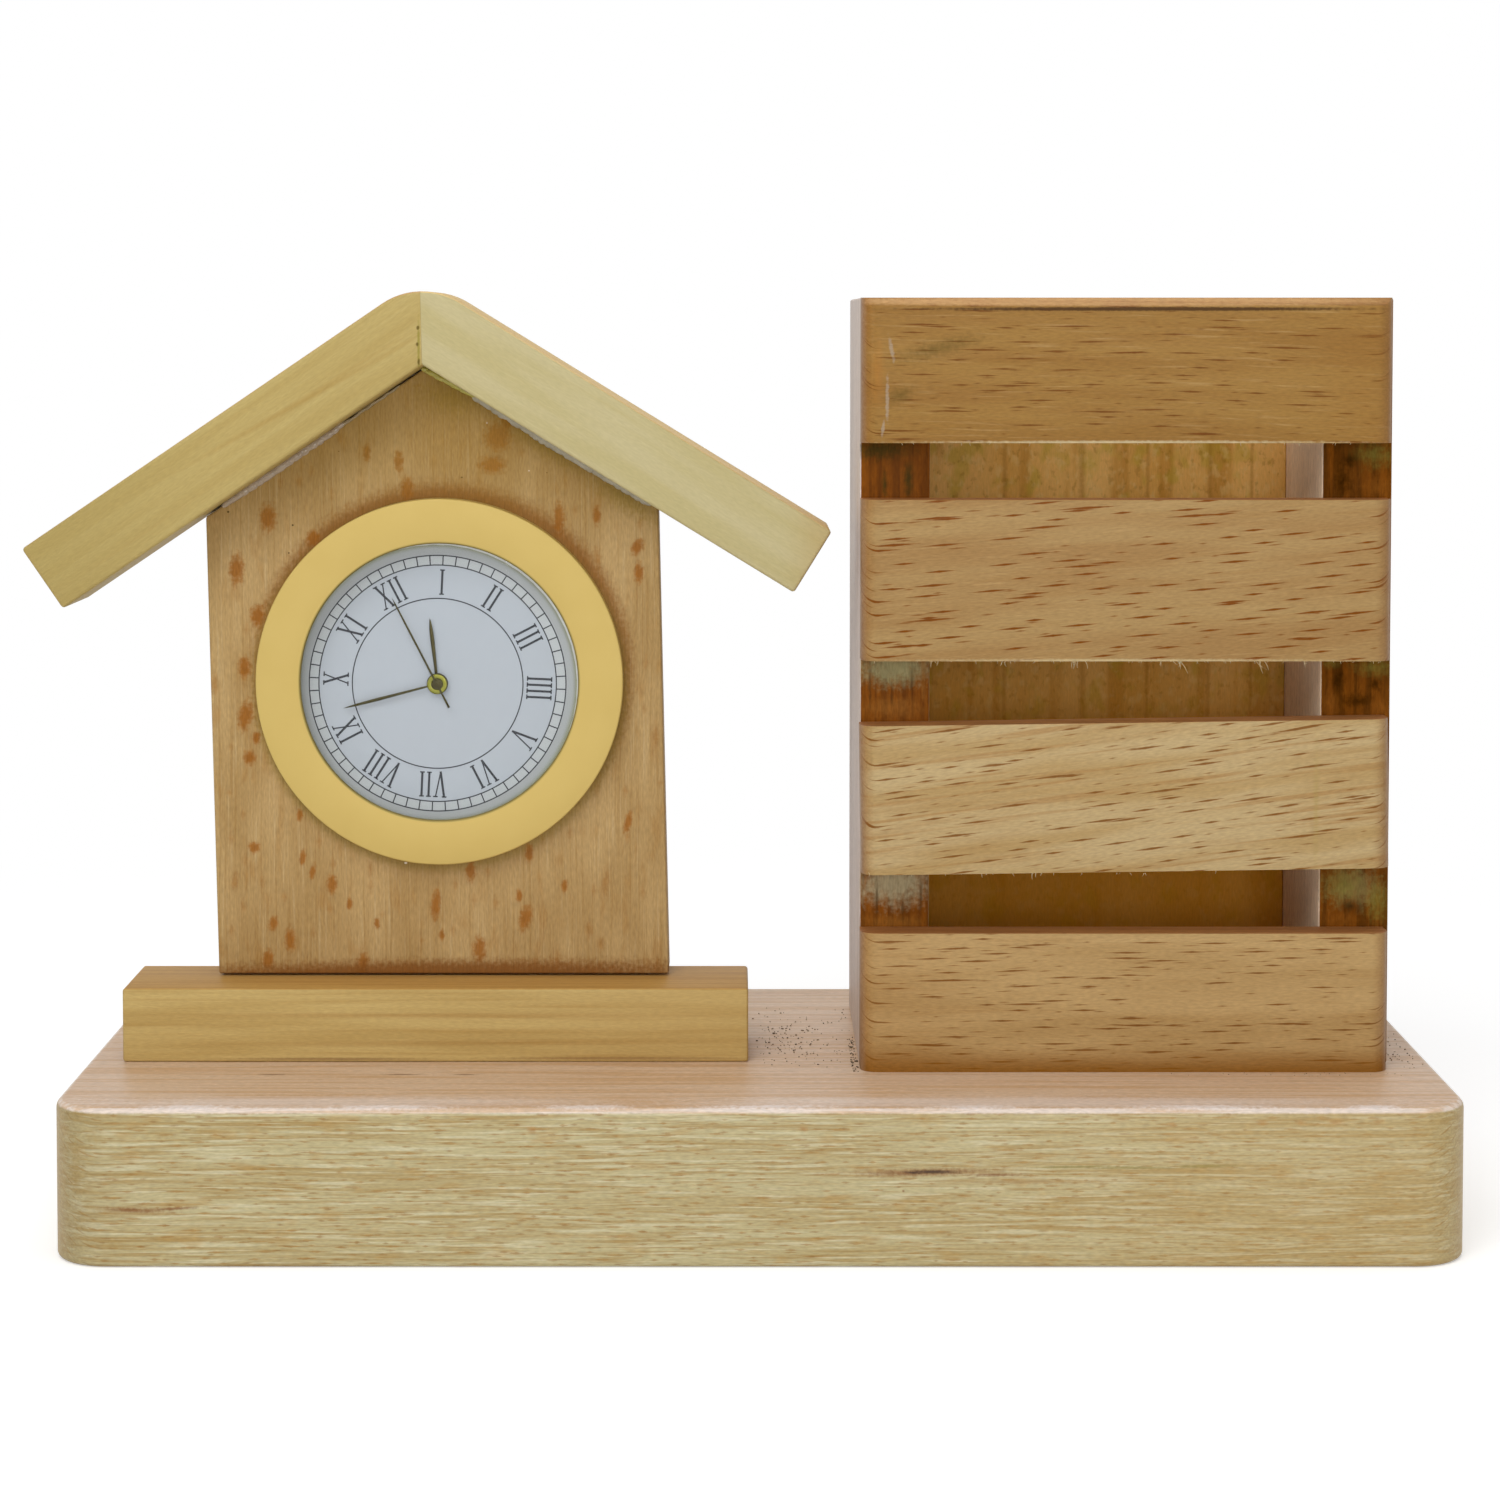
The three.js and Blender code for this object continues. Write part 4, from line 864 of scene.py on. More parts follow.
holderSideLooks = {
    "left": {
        "centre": (20, 8, 79),
        "lastMarks": [
            {"colour": "#989268", "amount": 0.85, "soft": 0.1, "spots": [(20, 81.4, 8, 3.8)]},
            {"colour": "#a69a78", "amount": 0.85, "soft": 0.1, "spots": [(20, 49.6, 8, 5.0)]},
            {"colour": "#40340a", "amount": 0.85,
             "spots": [(18, 113.8, 8, 2.4), (22, 109.5, 1.2, 4), (18.5, 108.5, 0.6, 3)]},
            {"colour": "#936026", "amount": 0.55,
             "spots": [(20, 75.6, 7, 2.4), (20, 43.6, 8, 1.8), (24.3, 80, 0.6, 6)]},
            {"colour": "#3d2506", "amount": 0.6, "ragged": 1.0,
             "spots": [(16.4, 79, 0.35, 5), (19.6, 77.5, 0.3, 3), (22.6, 79, 0.35, 4),
                       (17.5, 47, 0.3, 4), (21.3, 45.5, 0.35, 3), (24, 47.5, 0.3, 4)]},
        ],
    },
    "right": {
        "centre": (88, 8, 60),
        "gloss": 0,
        "faces": [
            ("Y", -0.5, -0.9, ("#74400a", "#583005"), 0.97),
            # painted sheen, paler than the left board's: this face looks into the box and lies in its shade
            ("X", -0.4, -0.8, ("#f6dec0", "#eed4b6"), 0.95),
        ],
        "lastMarks": [
            {"colour": "#8b7a4e", "amount": 0.7, "ragged": 1.1, "spots": [(88, 49, 6, 4.5)]},
            {"colour": "#7b7130", "amount": 0.7, "soft": -0.2, "ragged": 1.1, "grown": 1.3,
             "spots": [(90.5, 113, 3.5, 2.2), (91, 81.5, 3.5, 1.6), (86.5, 49.2, 4, 3.2),
                       (91.5, 47, 2, 4), (84.5, 82.2, 1.5, 1.0)]},
            {"colour": "#301a02", "amount": 0.85, "soft": -0.2, "ragged": 1.1, "grown": 1.4,
             "spots": [(87.0, 112, 1.6, 1.3), (86.0, 109, 1.3, 2.2), (85.6, 79.6, 1.0, 2.6),
                       (88.5, 76.6, 2.8, 1.2), (91, 79, 1.0, 1.2), (87.6, 46, 1.6, 1.4)]},
            {"colour": "#85501a", "amount": 0.6, "soft": -0.1, "ragged": 1.1, "grown": 1.3,
             "spots": [(84.5, 76, 1.3, 2.2), (91.5, 75.6, 1.8, 1.4), (86, 44.2, 3.0, 1.4),
                       (91, 108, 2.4, 1.8)]},
        ],
    },
}

# beech back board, brown with greenish blooms, seen in the shade between the slats
holderBackLook = {
    "centre": (54, 17, 79),
    "turn": turnUpright,
    "along": (0, 0, 1),
    "tones": ("#dfb066", "#d09c4e"),
    "broad": (60, 14, 5),
    "wander": 1.5,
    "streaks": [
        ((90, 4.5, 4), 0.5, 0.62, 0.45, "#a8701c"),
        ((6, 4.2, 4), 0.5, 0.66, 0.5, "#b09a34"),
        ((2.2, 1.6, 2), 0.5, 0.68, 0.4, "#e0bd78"),
        ((1.4, 1.1, 2), 0.55, 0.7, 0.3, "#80560f"),
    ],
    "bump": 0.12,
    "marks": [
        {"colour": "#8f5f20", "amount": 0.6, "soft": -0.2, "ragged": 0.5, "depth": 3,
         "spots": [(38.8, 90, 0.7, 60), (51.0, 90, 0.9, 60, 0.4), (61.2, 90, 0.5, 60),
                   (70.9, 90, 0.6, 60, -0.3), (77.5, 90, 0.5, 60)]},
    ],
    "tints": [
        ("Z", 100, 60, "#bd7908", 0.75),
    ],
    "endTones": ("#a3773f", "#83562a"),
    "grit": 0.08,
    "gloss": 0,
    "rough": 0.5,
    "edge": 0.35,
}


def addWood():
    addBase(baseLook)
    addBoard("plinth_strip", "hut_plinth", plinthLook)
    addPanel(panelLook)
    addRoofBoard("left_roof_board", "roof_slat_left", roofLeftLook, -1)
    addRoofBoard("right_roof_board", "roof_slat_right", roofRightLook, 1)
    for node, look in slatLooks.items():
        addBoard(node.replace("holder_slat", "front_slat"), node, look)
    for side, look in holderSideLooks.items():
        addBoard(side + "_side_board", "holder_side_" + side, {**holderSideLook, **look})
    addBoard("back_board", "holder_back", holderBackLook)


addWood()
print("boards are cut, softened and grained")


# what the maker left on the wood: glue, splinters and sawdust

def makeFinish(name, look):
    # two tones clouded together, so many clouds to the millimetre. The relief is the clouds' own, or has
    # grains so many millimetres across
    material, tree = newMaterial(name)
    place = addNode(tree, "TexCoord").outputs["Object"]
    cloud = addNode(tree, "TexNoise", {"Scale": look["clouds"] / mm, "Detail": look.get("detail", 3.0)},
                    {"Vector": place}).outputs["Fac"]
    share, height, links = cloud, cloud, {}
    if "contrast" in look:
        low, high = look["contrast"]
        share = addNode(tree, "MapRange", {"From Min": low, "From Max": high}, {"Value": cloud}).outputs[0]
    light, dark = look["tones"]
    links["Base Color"] = addNode(tree, "Mix", {"data_type": "RGBA", 6: linearColour(light),
                                                7: linearColour(dark)}, {0: share}).outputs[2]
    if "shines" in look:
        low, high = look["shines"]
        links["Roughness"] = addNode(tree, "MapRange", {"To Min": low, "To Max": high},
                                     {"Value": cloud}).outputs[0]
    if "grain" in look:
        height = addNode(tree, "TexNoise", {"Scale": 1 / (look["grain"] * mm), "Detail": 2.0},
                         {"Vector": place}).outputs["Fac"]
    if "relief" in look:
        strength, depth = look["relief"]
        links["Normal"] = addNode(tree, "Bump", {"Strength": strength, "Distance": depth * mm},
                                  {"Height": height}).outputs[0]
    skin = addNode(tree, "BsdfPrincipled", look.get("skin"), links)
    addNode(tree, "OutputMaterial", links={"Surface": skin.outputs[0]})
    return material


# hot-melt glue squeezed out of the joints: cloudy, soft-edged and wet-looking
glueLook = {
    "beads": {
        "glue_left": {"start": (-30.9, 72.0), "end": (-13.4, 83.3), "high": 0.62, "deep": 0.3,
                      "tones": ("#a08a70", "#bba991")},
        "glue_left_thin": {"start": (-13.4, 83.3), "end": (-5.0, 88.8), "high": 0.25, "deep": 0.16,
                           "tones": ("#8f7a52", "#a3906a")},
        "glue_right": {"start": (7.2, 87.1), "end": (32.4, 70.9), "high": 0.75, "deep": 0.45,
                       "tones": ("#9d9376", "#c9c2ae")},
        "glue_apex": {"start": (-0.5, 91.5), "end": (6.6, 87.6), "high": 0.5, "deep": 0.45,
                      "tones": ("#a59a35", "#cfc468")},
    },
    "finish": {"clouds": 1 / 1.4, "relief": (0.4, 0.1),
               "skin": {"Roughness": 0.2, "IOR": 1.48, "Alpha": 0.82}},
    "step": 0.55,
    "dropLong": 0.8,
}


def addGlue(look):
    # each bead is a row of overlapping drops in the corner between the roof and the panel's face
    dice = random.Random(4)
    for name, bead in look["beads"].items():
        start, end = Vector(bead["start"]), Vector(bead["end"])
        run = end - start
        drops = round(run.length / look["step"])
        bm = bmesh.new()
        for at in range(drops + 1):
            share = at / drops
            # a bead is fullest a little before its end, and never quite even
            swell = 0.55 + 0.45 * math.sin(math.pi * min(1, 0.12 + share * 0.8)) + dice.uniform(-0.12, 0.12)
            middle = start + run * share
            place = Vector((middle.x, dice.uniform(-0.06, 0.04), middle.y + dice.uniform(-0.1, 0.1))) * mm
            turn = Matrix.Rotation(-math.atan2(run.y, run.x), 4, "Y")
            deep, high = bead["deep"] * swell * mm, bead["high"] * swell * mm
            size = Matrix.Diagonal((look["dropLong"] * mm, deep, high, 1))
            bmesh.ops.create_icosphere(bm, subdivisions=3, radius=1,
                                       matrix=standPlace @ Matrix.Translation(place) @ turn @ size)
        clouded = makeFinish("hot_melt_" + name, {**look["finish"], "tones": bead["tones"]})
        addPiece(name, bm, clouded, sceneBodies["wood"], sharpAngle=180)


# splinters on the sawn lower edges: pale curved hairs, thicker than real ones so that they show
splinterLook = {
    "tufts": [
        (25.2, 83.15, 3, 0.9), (36.0, 83.15, 4, 1.3), (41.1, 83.15, 2, 0.8), (46.6, 83.15, 5, 2.0),
        (59.4, 83.15, 3, 1.4), (60.9, 83.15, 5, 2.2), (73.2, 83.15, 4, 1.8), (80.0, 83.15, 3, 0.9),
        (40.6, 51.9, 4, 1.0), (33, 51.8, 2, 0.6), (66, 52.6, 2, 0.7), (29, 114.95, 2, 0.5),
        (84, 114.95, 2, 0.6),
    ],
    "fuzz": [(16, 91, 83.1, 44), (16, 91, 114.9, 16), (16, 60, 51.9, 16)],
    "front": -18.9,
    "thick": 0.08,
    "fuzzThick": 0.8,
    "lean": 50,
    "bend": 28,
    "taper": 0.7,
    "finish": {"tones": ("#cdb98c", "#e0cfa6"), "clouds": 0.5, "detail": 2.0, "skin": {"Roughness": 0.6}},
}


def addSplinter(bm, dice, look, root, length, thick):
    # three short lengths, each bent a little further and thinner than the last
    lean = dice.uniform(-look["lean"], look["lean"])
    bend = dice.uniform(-look["bend"], look["bend"])
    taper = [look["taper"]] * 3
    tip = bmesh.ops.create_circle(bm, cap_ends=True, segments=3, radius=thick,
                                  matrix=Matrix.Translation(root))["verts"]
    face = list({f for v in tip for f in v.link_faces})
    for _ in range(3):
        angle = math.radians(lean)
        step = Vector((math.sin(angle), dice.uniform(-0.3, 0.1), -math.cos(angle))).normalized() * length / 3
        grown = bmesh.ops.extrude_face_region(bm, geom=face)["geom"]
        tip = [g for g in grown if isinstance(g, bmesh.types.BMVert)]
        face = [g for g in grown if isinstance(g, bmesh.types.BMFace)]
        bmesh.ops.translate(bm, verts=tip, vec=step)
        middle = sum((v.co for v in tip), Vector()) / len(tip)
        bmesh.ops.scale(bm, verts=tip, vec=taper, space=Matrix.Translation(-middle))
        lean += bend


def addSplinters(look):
    dice = random.Random(11)
    bm = bmesh.new()
    for across, height, count, longest in look["tufts"]:
        for _ in range(count):
            root = Vector((across + dice.uniform(-0.9, 0.9), look["front"] + dice.uniform(0, 0.8),
                           height)) * mm
            addSplinter(bm, dice, look, root, dice.uniform(0.5, 1.25) * longest * mm, look["thick"] * mm)
    for start, end, height, count in look["fuzz"]:
        for _ in range(count):
            root = Vector((dice.uniform(start, end), look["front"] + dice.uniform(0, 0.4), height)) * mm
            thick = look["thick"] * look["fuzzThick"] * mm
            addSplinter(bm, dice, look, root, dice.uniform(0.25, 0.6) * mm, thick)
    bmesh.ops.recalc_face_normals(bm, faces=bm.faces)
    fibre = makeFinish("raised_beech_fibre", look["finish"])
    addPiece("slat_splinters", bm, fibre, sceneBodies["wood"], sharpAngle=180)


# sawdust and grit on the base, swept into the corners: dark grains a quarter of a millimetre across
sawdustLook = {
    "patches": [
        {"from": (-1, -16), "to": (14.4, 26), "grains": 110, "size": (0.05, 0.13)},
        {"from": (1, -8), "to": (10, 12), "grains": 90, "size": (0.06, 0.17)},
        {"from": (13.7, -19), "to": (14.7, 4), "grains": 55, "size": (0.07, 0.2)},
        {"from": (93.5, -18), "to": (98.5, 12), "grains": 70, "size": (0.05, 0.15)},
        {"from": (60, -21.5), "to": (94, -19.4), "grains": 30, "size": (0.04, 0.1)},
    ],
    "finish": {"tones": ("#4a3d2e", "#937f66"), "clouds": 1 / 1.2, "detail": 1.0, "contrast": (0.4, 0.6),
               "skin": {"Roughness": 0.85}},
}


def addSawdust(look):
    dice = random.Random(23)
    bm = bmesh.new()
    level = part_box("base_plank")[1][2]
    for patch in look["patches"]:
        for _ in range(patch["grains"]):
            radius = dice.triangular(*patch["size"], patch["size"][0]) * mm
            across, along = [dice.uniform(a, b) * mm for a, b in zip(patch["from"], patch["to"])]
            turn = Matrix.Rotation(dice.uniform(0, math.tau), 4, "Z")
            size = Matrix.Diagonal((radius * dice.uniform(0.8, 2), radius, radius * 0.8, 1))
            place = Matrix.Translation((across, along, level + radius * 0.55))
            bmesh.ops.create_icosphere(bm, subdivisions=1, radius=1, matrix=place @ turn @ size)
    addPiece("base_sawdust", bm, makeFinish("sawdust", look["finish"]), sceneBodies["wood"], sharpAngle=60)


addGlue(glueLook)
addSplinters(splinterLook)
addSawdust(sawdustLook)
print("glue, splinters and sawdust are on the wood")


# the clock insert

insertFront = -3.0
insertAxis = middleOf("dial_plate") / mm


def spun(profile, steps, axis):
    # profile: (radius, depth behind the panel's face) pairs in millimetres, closed and spun about an axis
    bm = bmesh.new()
    points = [bm.verts.new(Vector((axis.x + reach, insertFront + depth, axis.z)) * mm)
              for reach, depth in profile]
    lines = [bm.edges.new((points[at], points[(at + 1) % len(points)])) for at in range(len(points))]
    bmesh.ops.spin(bm, geom=points + lines, cent=Vector((axis.x, 0, axis.z)) * mm, axis=(0, 1, 0),
                   dvec=(0, 0, 0), angle=math.tau, steps=steps, use_merge=True, use_duplicate=False)
    bmesh.ops.remove_doubles(bm, verts=bm.verts, dist=2 * weld)
    bmesh.ops.recalc_face_normals(bm, faces=bm.faces)
    return bm


def ringProfile(look, inner):
    outer, front, back = look["radius"], look["front"], look["back"]
    return [(inner, front), (outer, front), (outer, back), (inner, back)]


def addDisc(name, look, material, node):
    # the hole in its middle is too small to see, and its corners are welded
    bm = spun(ringProfile(look, weld / mm), 128, insertAxis)
    addPiece(name, bm, material, sceneBodies["clock"], (node,), 30)


# gilt sheet, pressed and satin: an even yellow with soft reflections, brightest on its rolled edges
bezelLook = {
    "radius": 27.566,
    "opening": 20.82,
    "front": -3.0,
    "back": -0.1,
    "sheet": 0.8,
    "edge": 0.22,
    "colour": "#c6ac61",
    "worn": "#c2a75b",
    # painted reflection of the inner wall: a dull olive line round the opening
    "innerWallReflection": "#6f6226",
    "innerWallReflectionWidths": (0.42, 0.08),
    "innerWallReflectionAmount": 0.9,
    "clouds": 0.18,
    "grains": 2.6,
    "relief": (0.06, 0.02),
    "shines": (0.56, 0.64),
    "metal": 0.22,
}
bezelAxis = middleOf("clock_bezel") / mm


def makeGilt(look):
    material, tree = newMaterial("satin_gilt")
    place = addNode(tree, "TexCoord").outputs["Object"]
    scale = addNode(tree, "Mapping", {"Scale": [look["clouds"] / mm] * 3}, {"Vector": place})
    cloud = addNode(tree, "TexNoise", {"Scale": 1.0, "Detail": 3.0}, {"Vector": scale.outputs[0]})
    tone = addNode(tree, "Mix", {"data_type": "RGBA", 6: linearColour(look["colour"]),
                                 7: linearColour(look["worn"])}, {0: cloud.outputs["Fac"]})
    fromMiddle = addNode(tree, "Mapping", {
        "vector_type": "TEXTURE",
        "Location": bezelAxis * mm,
        "Scale": (mm, 1000, mm),
    }, {"Vector": place}).outputs[0]
    reach = addNode(tree, "VectorMath", {"operation": "LENGTH"}, {0: fromMiddle})
    # a dull olive line round the opening: a painted reflection of the bezel's inner wall
    start, full = [look["opening"] + width for width in look["innerWallReflectionWidths"]]
    gilt = stain(tree, tone.outputs[2], reach.outputs["Value"], start, full, look["innerWallReflectionAmount"],
                 look["innerWallReflection"])
    fine = addNode(tree, "TexNoise", {"Scale": look["grains"] / mm, "Detail": 2.0}, {"Vector": place})
    strength, depth = look["relief"]
    grit = addNode(tree, "Bump", {"Strength": strength, "Distance": depth * mm},
                   {"Height": fine.outputs["Fac"]})
    low, high = look["shines"]
    shine = addNode(tree, "MapRange", {"To Min": low, "To Max": high}, {"Value": cloud.outputs["Fac"]})
    metal = addNode(tree, "BsdfPrincipled", {"Metallic": look["metal"]},
                    {"Base Color": gilt, "Roughness": shine.outputs[0], "Normal": grit.outputs[0]})
    addNode(tree, "OutputMaterial", links={"Surface": metal.outputs[0]})
    return material


def addBezel(look):
    outer, inner, front, back = look["radius"], look["opening"], look["front"], look["back"]
    wall = look["sheet"]
    profile = [(inner, front), (outer, front), (outer, back), (outer - wall, back),
               (outer - wall, front + wall), (inner, front + wall)]
    bm = spun(profile, 160, bezelAxis)
    softenEdges(bm, sharpEdges(bm, 30), look["edge"])
    addPiece("bezel_ring", bm, makeGilt(look), sceneBodies["clock"], ("clock_bezel",), 30)


# polished acrylic disc: clear, mirroring little from the front and more where it is seen at a slant
lensLook = {
    "radius": 22.27,
    "front": -2.1,
    "back": -0.9,
    "tint": (0.985, 0.99, 0.99, 1),
    "polish": 0.02,
    "mirror": 0.012,
    "slantMirror": 0.4,
    "slantPower": 4.0,
}


def makeLens(look):
    material, tree = newMaterial("clear_acrylic")
    path = addNode(tree, "LightPath")
    coat = addNode(tree, "BsdfGlossy", {"Color": white, "Roughness": look["polish"]})
    clear = addNode(tree, "BsdfTransparent", {"Color": look["tint"]})
    skin = addNode(tree, "LayerWeight", {"Blend": 0.5})
    steep = addNode(tree, "Math", {"operation": "POWER", 1: look["slantPower"]}, {0: skin.outputs["Facing"]})
    share = addNode(tree, "Math", {"operation": "MULTIPLY_ADD", 1: look["slantMirror"], 2: look["mirror"]},
                    {0: steep.outputs[0]})
    unlit = addNode(tree, "Math", {"operation": "SUBTRACT", 0: 1.0}, {1: path.outputs["Is Shadow Ray"]})
    small = addNode(tree, "Math", {"operation": "MULTIPLY"}, {0: share.outputs[0], 1: unlit.outputs[0]})
    glass = addNode(tree, "MixShader", links={0: small.outputs[0], 1: clear.outputs[0], 2: coat.outputs[0]})
    addNode(tree, "OutputMaterial", links={"Surface": glass.outputs[0]})
    return material


# printed paper on a thin plate: cool grey paper, dark grey print, paler squares in the minute track
dialLook = {
    "radius": 22.27,
    "front": 1.0,
    "back": 1.6,
    "turn": 27.3,
    "paper": "#b3b9c1",
    "fibre": "#b9bfc6",
    "paperEdge": "#adb0b1",
    "edgeStart": 17.55,
    "edgeFull": 20.0,
    "mirrored": "#8f9168",
    "mirrorStart": 20.3,
    "mirrorFull": 21.1,
    "mirrorAmount": 0.75,
    "fibres": 0.9,
    "relief": (0.05, 0.02),
    "square": ("#b6babc", "#bfc4c6"),
    "ink": ("#1d1f28", "#1f212b"),
    "printing": {"clouds": 1.5, "detail": 2.0, "skin": {"Roughness": 0.55}},
    "printGap": 0.02,
    "trackOuter": 19.4,
    "trackInner": 17.95,
    "innerCircle": 12.9,
    "line": 0.18,
    "numeralInner": 13.45,
    "numeralOuter": 17.3,
    "thick": 0.34,
    "thin": 0.2,
    "serif": 0.2,
    "serifReach": 0.36,
    "barGap": 1.06,
    "closeBars": 0.88,
    "crossWidth": 1.32,
    "wideV": 1.25,
    "pointDrop": 0.1,
    "pointAside": 0.03,
}
numeralNames = ("XII", "I", "II", "III", "IIII", "V", "VI", "VII", "VIII", "IX", "X", "XI")


def makeDialPaper(look):
    material, tree = newMaterial("printed_paper")
    place = addNode(tree, "TexCoord").outputs["Object"]
    fromHub = addNode(tree, "Mapping", {
        "vector_type": "TEXTURE",
        "Location": Vector((insertAxis.x, insertFront, insertAxis.z)) * mm,
        "Scale": (mm, 1000, mm),
    }, {"Vector": place}).outputs[0]
    reach = addNode(tree, "VectorMath", {"operation": "LENGTH"}, {0: fromHub})
    fibre = addNode(tree, "TexNoise", {"Scale": look["fibres"] / mm, "Detail": 3.0}, {"Vector": place})
    paper = addNode(tree, "Mix", {"data_type": "RGBA", 6: linearColour(look["paper"]),
                                  7: linearColour(look["fibre"])}, {0: fibre.outputs["Fac"]}).outputs[2]
    paper = stain(tree, paper, reach.outputs["Value"], look["edgeStart"], look["edgeFull"], 1.0,
                  look["paperEdge"])
    # the gilt ring's colour, thrown back on the dial's outermost millimetre
    paper = stain(tree, paper, reach.outputs["Value"], look["mirrorStart"], look["mirrorFull"],
                  look["mirrorAmount"], look["mirrored"])
    strength, depth = look["relief"]
    tooth = addNode(tree, "Bump", {"Strength": strength, "Distance": depth * mm},
                    {"Height": fibre.outputs["Fac"]})
    sheet = addNode(tree, "BsdfPrincipled", {"Roughness": 0.62, "Specular IOR Level": 0.3},
                    {"Base Color": paper, "Normal": tooth.outputs[0]})
    addNode(tree, "OutputMaterial", links={"Surface": sheet.outputs[0]})
    return material


def onDial(depth, turn):
    # the dial's own plane, x to the right and y outwards, turned clockwise as seen from the front
    place = Matrix.Translation(Vector((insertAxis.x, insertFront + depth, insertAxis.z)) * mm)
    return place @ Matrix.Rotation(math.radians(turn), 4, "Y") @ Matrix.Rotation(math.radians(90), 4, "X")


def faceForward(bm):
    for face in bm.faces:
        face.normal_update()
        if face.normal.y > 0:
            face.normal_flip()


def printStroke(bm, plane, start, end, width):
    start, end = Vector((*start, 0)), Vector((*end, 0))
    along = end - start
    shape = Matrix.Translation((start + end) / 2 * mm) @ Matrix.Rotation(math.atan2(along.y, along.x), 4, "Z")
    size = Matrix.Diagonal((along.length * mm, width * mm, 1, 1))
    bmesh.ops.create_grid(bm, x_segments=1, y_segments=1, size=0.5, matrix=plane @ shape @ size)


def printRing(bm, plane, inner, outer, steps=240):
    made = bmesh.ops.create_circle(bm, segments=steps, radius=outer * mm, matrix=plane)["verts"]
    rims = list({edge for v in made for edge in v.link_edges})
    made = bmesh.ops.create_circle(bm, segments=steps, radius=inner * mm, matrix=plane)["verts"]
    rims += list({edge for v in made for edge in v.link_edges})
    bmesh.ops.bridge_loops(bm, edges=rims)


def printNumeral(bm, plane, letters, look):
    low, high = look["numeralInner"], look["numeralOuter"]
    gap = look["barGap"] * (look["closeBars"] if letters == "IIII" else 1)
    wide = look["crossWidth"] * (look["wideV"] if letters == "V" else 1)
    widths = [0 if letter == "I" else wide for letter in letters]
    total = sum(widths) + gap * (len(letters) - 1)
    at = -total / 2
    for letter, width in zip(letters, widths):
        left, right = at, at + width
        if letter == "I":
            printStroke(bm, plane, (left, low), (left, high), look["thick"])
            feet = [(left, low), (left, high)]
        elif letter == "V":
            point, foot = (left + right) / 2, low - look["pointDrop"]
            printStroke(bm, plane, (left, high), (point + look["pointAside"], foot), look["thick"])
            printStroke(bm, plane, (right, high), (point, foot), look["thin"])
            feet = [(left, high), (right, high)]
        else:
            printStroke(bm, plane, (left, high), (right, low), look["thick"])
            printStroke(bm, plane, (right, high), (left, low), look["thin"])
            feet = [(left, high), (right, high), (left, low), (right, low)]
        reach = look["serifReach"]
        for foot, level in feet:
            inset = look["serif"] / 2 if level == low else -look["serif"] / 2
            start, end = (foot - reach, level + inset), (foot + reach, level + inset)
            printStroke(bm, plane, start, end, look["serif"])
        at = right + gap


def addDial(look):
    addDisc("dial_disc", look, makeDialPaper(look), "dial_plate")
    depth = look["front"] - look["printGap"]
    squares = bmesh.new()
    printRing(squares, onDial(depth + look["printGap"] / 2, 0), look["trackInner"], look["trackOuter"])
    faceForward(squares)
    pale = makeFinish("pale_track_ink", {**look["printing"], "tones": look["square"]})
    addPiece("dial_track_tint", squares, pale, sceneBodies["clock"])
    ink = bmesh.new()
    half = look["line"] / 2
    for radius in (look["trackOuter"], look["trackInner"], look["innerCircle"]):
        printRing(ink, onDial(depth, 0), radius - half, radius + half)
    for minute in range(60):
        plane = onDial(depth, minute * 6 - look["turn"])
        printStroke(ink, plane, (0, look["trackInner"]), (0, look["trackOuter"]), look["line"])
    for hour, letters in enumerate(numeralNames):
        printNumeral(ink, onDial(depth, hour * 30 - look["turn"]), letters, look)
    faceForward(ink)
    dark = makeFinish("dark_dial_ink", {**look["printing"], "tones": look["ink"]})
    addPiece("dial_print", ink, dark, sceneBodies["clock"])


# blackened brass, blanked from sheet: olive brown, with a brighter line where the edge was burnished
handsLook = {
    "hour": {"node": "hour_hand", "body": "hour_arbor", "turn": -6.45, "front": 0.5, "thick": 0.2,
             "outline": [(0.2, 1.2), (0.24, 4), (0.3, 6.6), (0.26, 8.4), (0.1, 9.6), (0.0, 10.0)],
             "bosses": [{"radius": 1.6, "thick": 0.2, "rise": 0, "round": 0.03}]},
    "minute": {"node": "minute_hand", "body": "minute_arbor", "turn": 255.45, "front": 0.1, "thick": 0.2,
               "outline": [(0.14, 1.2), (0.18, 5), (0.24, 9.6), (0.19, 12.6), (0.07, 14.2), (0.0, 14.6)],
               "bosses": [{"radius": 1.55, "thick": 0.2, "rise": 0, "round": 0.03}]},
    "second": {"node": "second_hand", "body": "seconds_arbor", "turn": -27.25, "front": -0.35, "thick": 0.15,
               "outline": [(0.17, -4.0), (0.12, -0.8), (0.15, 0.8), (0.15, 9), (0.11, 13.6), (0.0, 14.8)],
               "bosses": [{"radius": 0.88, "thick": 0.2, "rise": 0, "round": 0.12},
                          {"radius": 0.4, "thick": 0.2, "rise": 0.08, "round": 0.06}]},
    "collar": {"name": "minute_collar", "body": "minute_arbor", "radius": 1.5, "opening": 0.8, "front": -0.12,
               "back": 0.1, "round": 0.1},
    "edge": 0.04,
    "dark": {"tones": ("#2b270d", "#4a4219"), "clouds": 0.7, "shines": (0.34, 0.5),
             "skin": {"Metallic": 0.8}},
    "olive": {"tones": ("#6a6a1f", "#8f8a35"), "clouds": 0.7, "shines": (0.22, 0.38),
              "skin": {"Metallic": 0.8}},
}


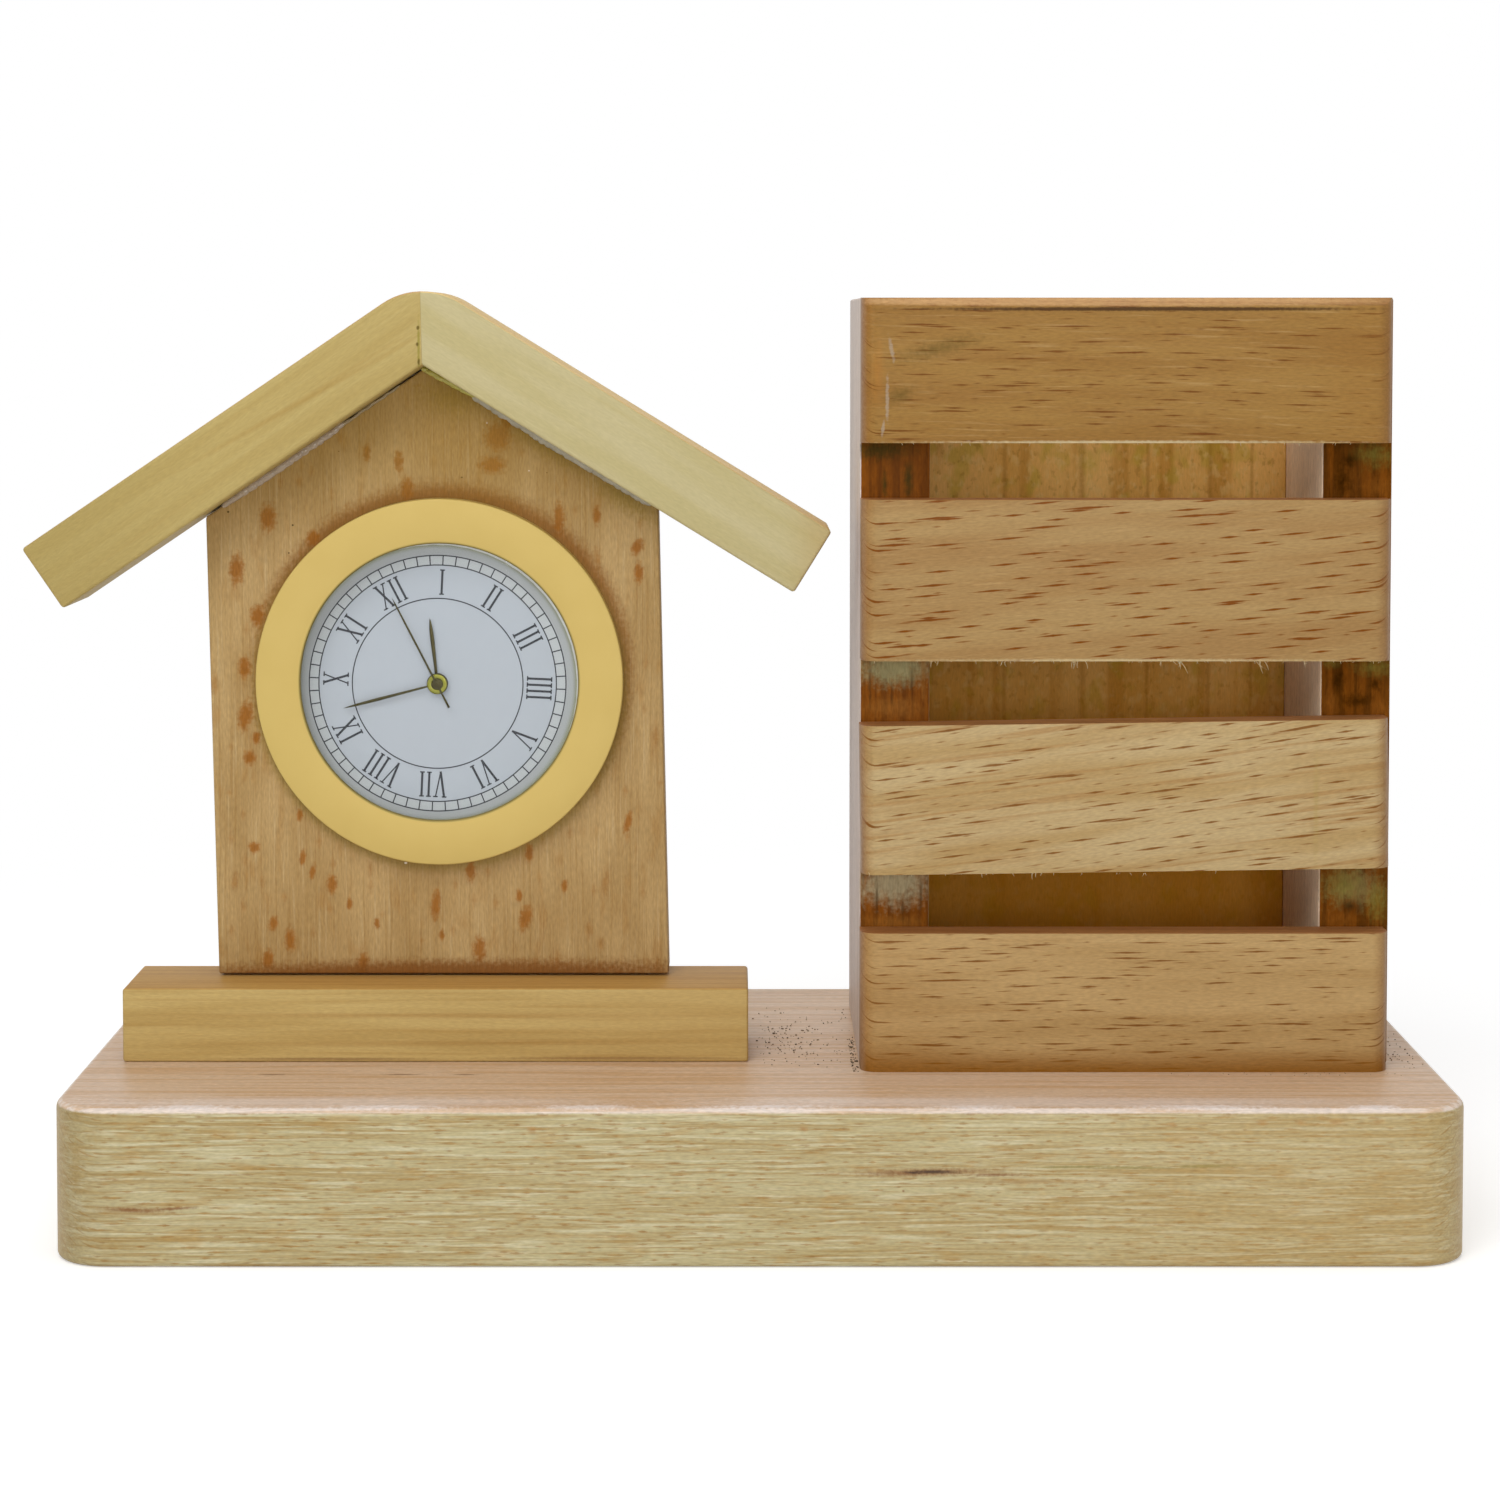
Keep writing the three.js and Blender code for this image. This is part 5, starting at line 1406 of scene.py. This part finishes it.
def addHand(kind, look, material):
    hand = look[kind]
    bm = bmesh.new()
    right = [bm.verts.new((half * mm, reach * mm, 0)) for half, reach in hand["outline"]]
    left = [bm.verts.new((-half * mm, reach * mm, 0)) for half, reach in reversed(hand["outline"])
            if half > 0]
    bm.faces.new(right + left)
    grown = bmesh.ops.extrude_face_region(bm, geom=list(bm.faces))["geom"]
    bmesh.ops.translate(bm, verts=[g for g in grown if isinstance(g, bmesh.types.BMVert)],
                        vec=(0, 0, -hand["thick"] * mm))
    bmesh.ops.recalc_face_normals(bm, faces=bm.faces)
    front = sharpEdges(bm, 60, lambda e: all(abs(v.co.z) < near for v in e.verts))
    softenEdges(bm, front, look["edge"], 2)
    for part in hand["bosses"]:
        radius, thick = part["radius"] * mm, part["thick"] * mm
        place = Matrix.Translation((0, 0, part["rise"] * mm - thick / 2))
        disc = bmesh.ops.create_cone(bm, cap_ends=True, segments=64, radius1=radius, radius2=radius,
                                     depth=thick, matrix=place)
        rim = {e for v in disc["verts"] for e in v.link_edges if len(e.link_faces) == 2
               and e.calc_face_angle() > 1 and all(u.co.z > (part["rise"] - 0.01) * mm for u in e.verts)}
        softenEdges(bm, list(rim), part["round"], 5)
    bmesh.ops.transform(bm, matrix=onDial(hand["front"], hand["turn"]), verts=bm.verts)
    addPiece(kind + "_hand_blade", bm, material, hand["body"], (hand["node"],), 40)


def addCollar(look, material):
    # a turned ring on the hub, with a full round on its front edges
    bm = spun(ringProfile(look, look["opening"]), 72, insertAxis)
    front = (insertFront + look["front"]) * mm
    rim = sharpEdges(bm, 60, lambda e: all(abs(v.co.y - front) < near for v in e.verts))
    softenEdges(bm, rim, look["round"], 6)
    addPiece(look["name"], bm, material, look["body"], sharpAngle=50)


def addHands(look):
    dark = makeFinish("blackened_brass", look["dark"])
    for kind in ("hour", "minute", "second"):
        addHand(kind, look, dark)
    addCollar(look["collar"], makeFinish("lacquered_brass", look["olive"]))


def addClockFace():
    addBezel(bezelLook)
    addDisc("lens_disc", lensLook, makeLens(lensLook), "clock_lens")
    addDial(dialLook)
    addHands(handsLook)


addClockFace()
print("bezel, lens, dial and hands are made")


# the rest of the insert keeps the CAD solids; each gets the finish of the real material

movementLook = {
    "black_plastic": {"nodes": ["clock_case", "back_cover", "setting_knob"], "tones": ("#1c1c1e", "#26262a"),
                      "rough": 0.5, "grain": 0.25, "metal": 0},
    "white_plastic": {"nodes": ["dial_spacer", "main_plate"], "tones": ("#dcdcd6", "#e6e6e1"), "rough": 0.45,
                      "grain": 0.3, "metal": 0},
    "ribbed_rubber": {"nodes": ["grip_ring"], "tones": ("#1e1e1e", "#2b2b2a"), "rough": 0.8, "grain": 0.15,
                      "metal": 0},
    "cut_brass": {"nodes": ["hour_wheel", "motion_wheel", "centre_wheel", "third_wheel", "seconds_wheel",
                            "intermediate_wheel"], "tones": ("#b8963f", "#c7a854"), "rough": 0.3,
                  "grain": 0.12, "metal": 1},
    "plain_steel": {"nodes": ["train_bridge", "bridge_screw_1", "bridge_screw_2", "bridge_screw_3", "rotor",
                              "stator", "coil_core", "button_cell", "clip_positive", "clip_negative",
                              "quartz_crystal"], "tones": ("#a9adb2", "#c2c5c9"), "rough": 0.32, "grain": 0.1,
                    "metal": 1},
    "enamelled_copper": {"nodes": ["coil_winding"], "tones": ("#a85a2c", "#bf7240"), "rough": 0.38,
                         "grain": 0.12, "metal": 1},
    "glass_fibre_board": {"nodes": ["circuit_board"], "tones": ("#265a32", "#2f6b3c"), "rough": 0.5,
                          "grain": 0.2, "metal": 0},
}


def finishMovement(name, look):
    shines = (look["rough"] - 0.05, look["rough"] + 0.08)
    finish = makeFinish(name, {**look, "clouds": 0.35, "shines": shines, "relief": (0.15, 0.03),
                               "skin": {"Metallic": look["metal"]}})
    for node in look["nodes"]:
        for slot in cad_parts[node].material_slots:
            slot.material = finish


for finishName, finishLook in movementLook.items():
    finishMovement(finishName, finishLook)
print("the movement and its case are finished")
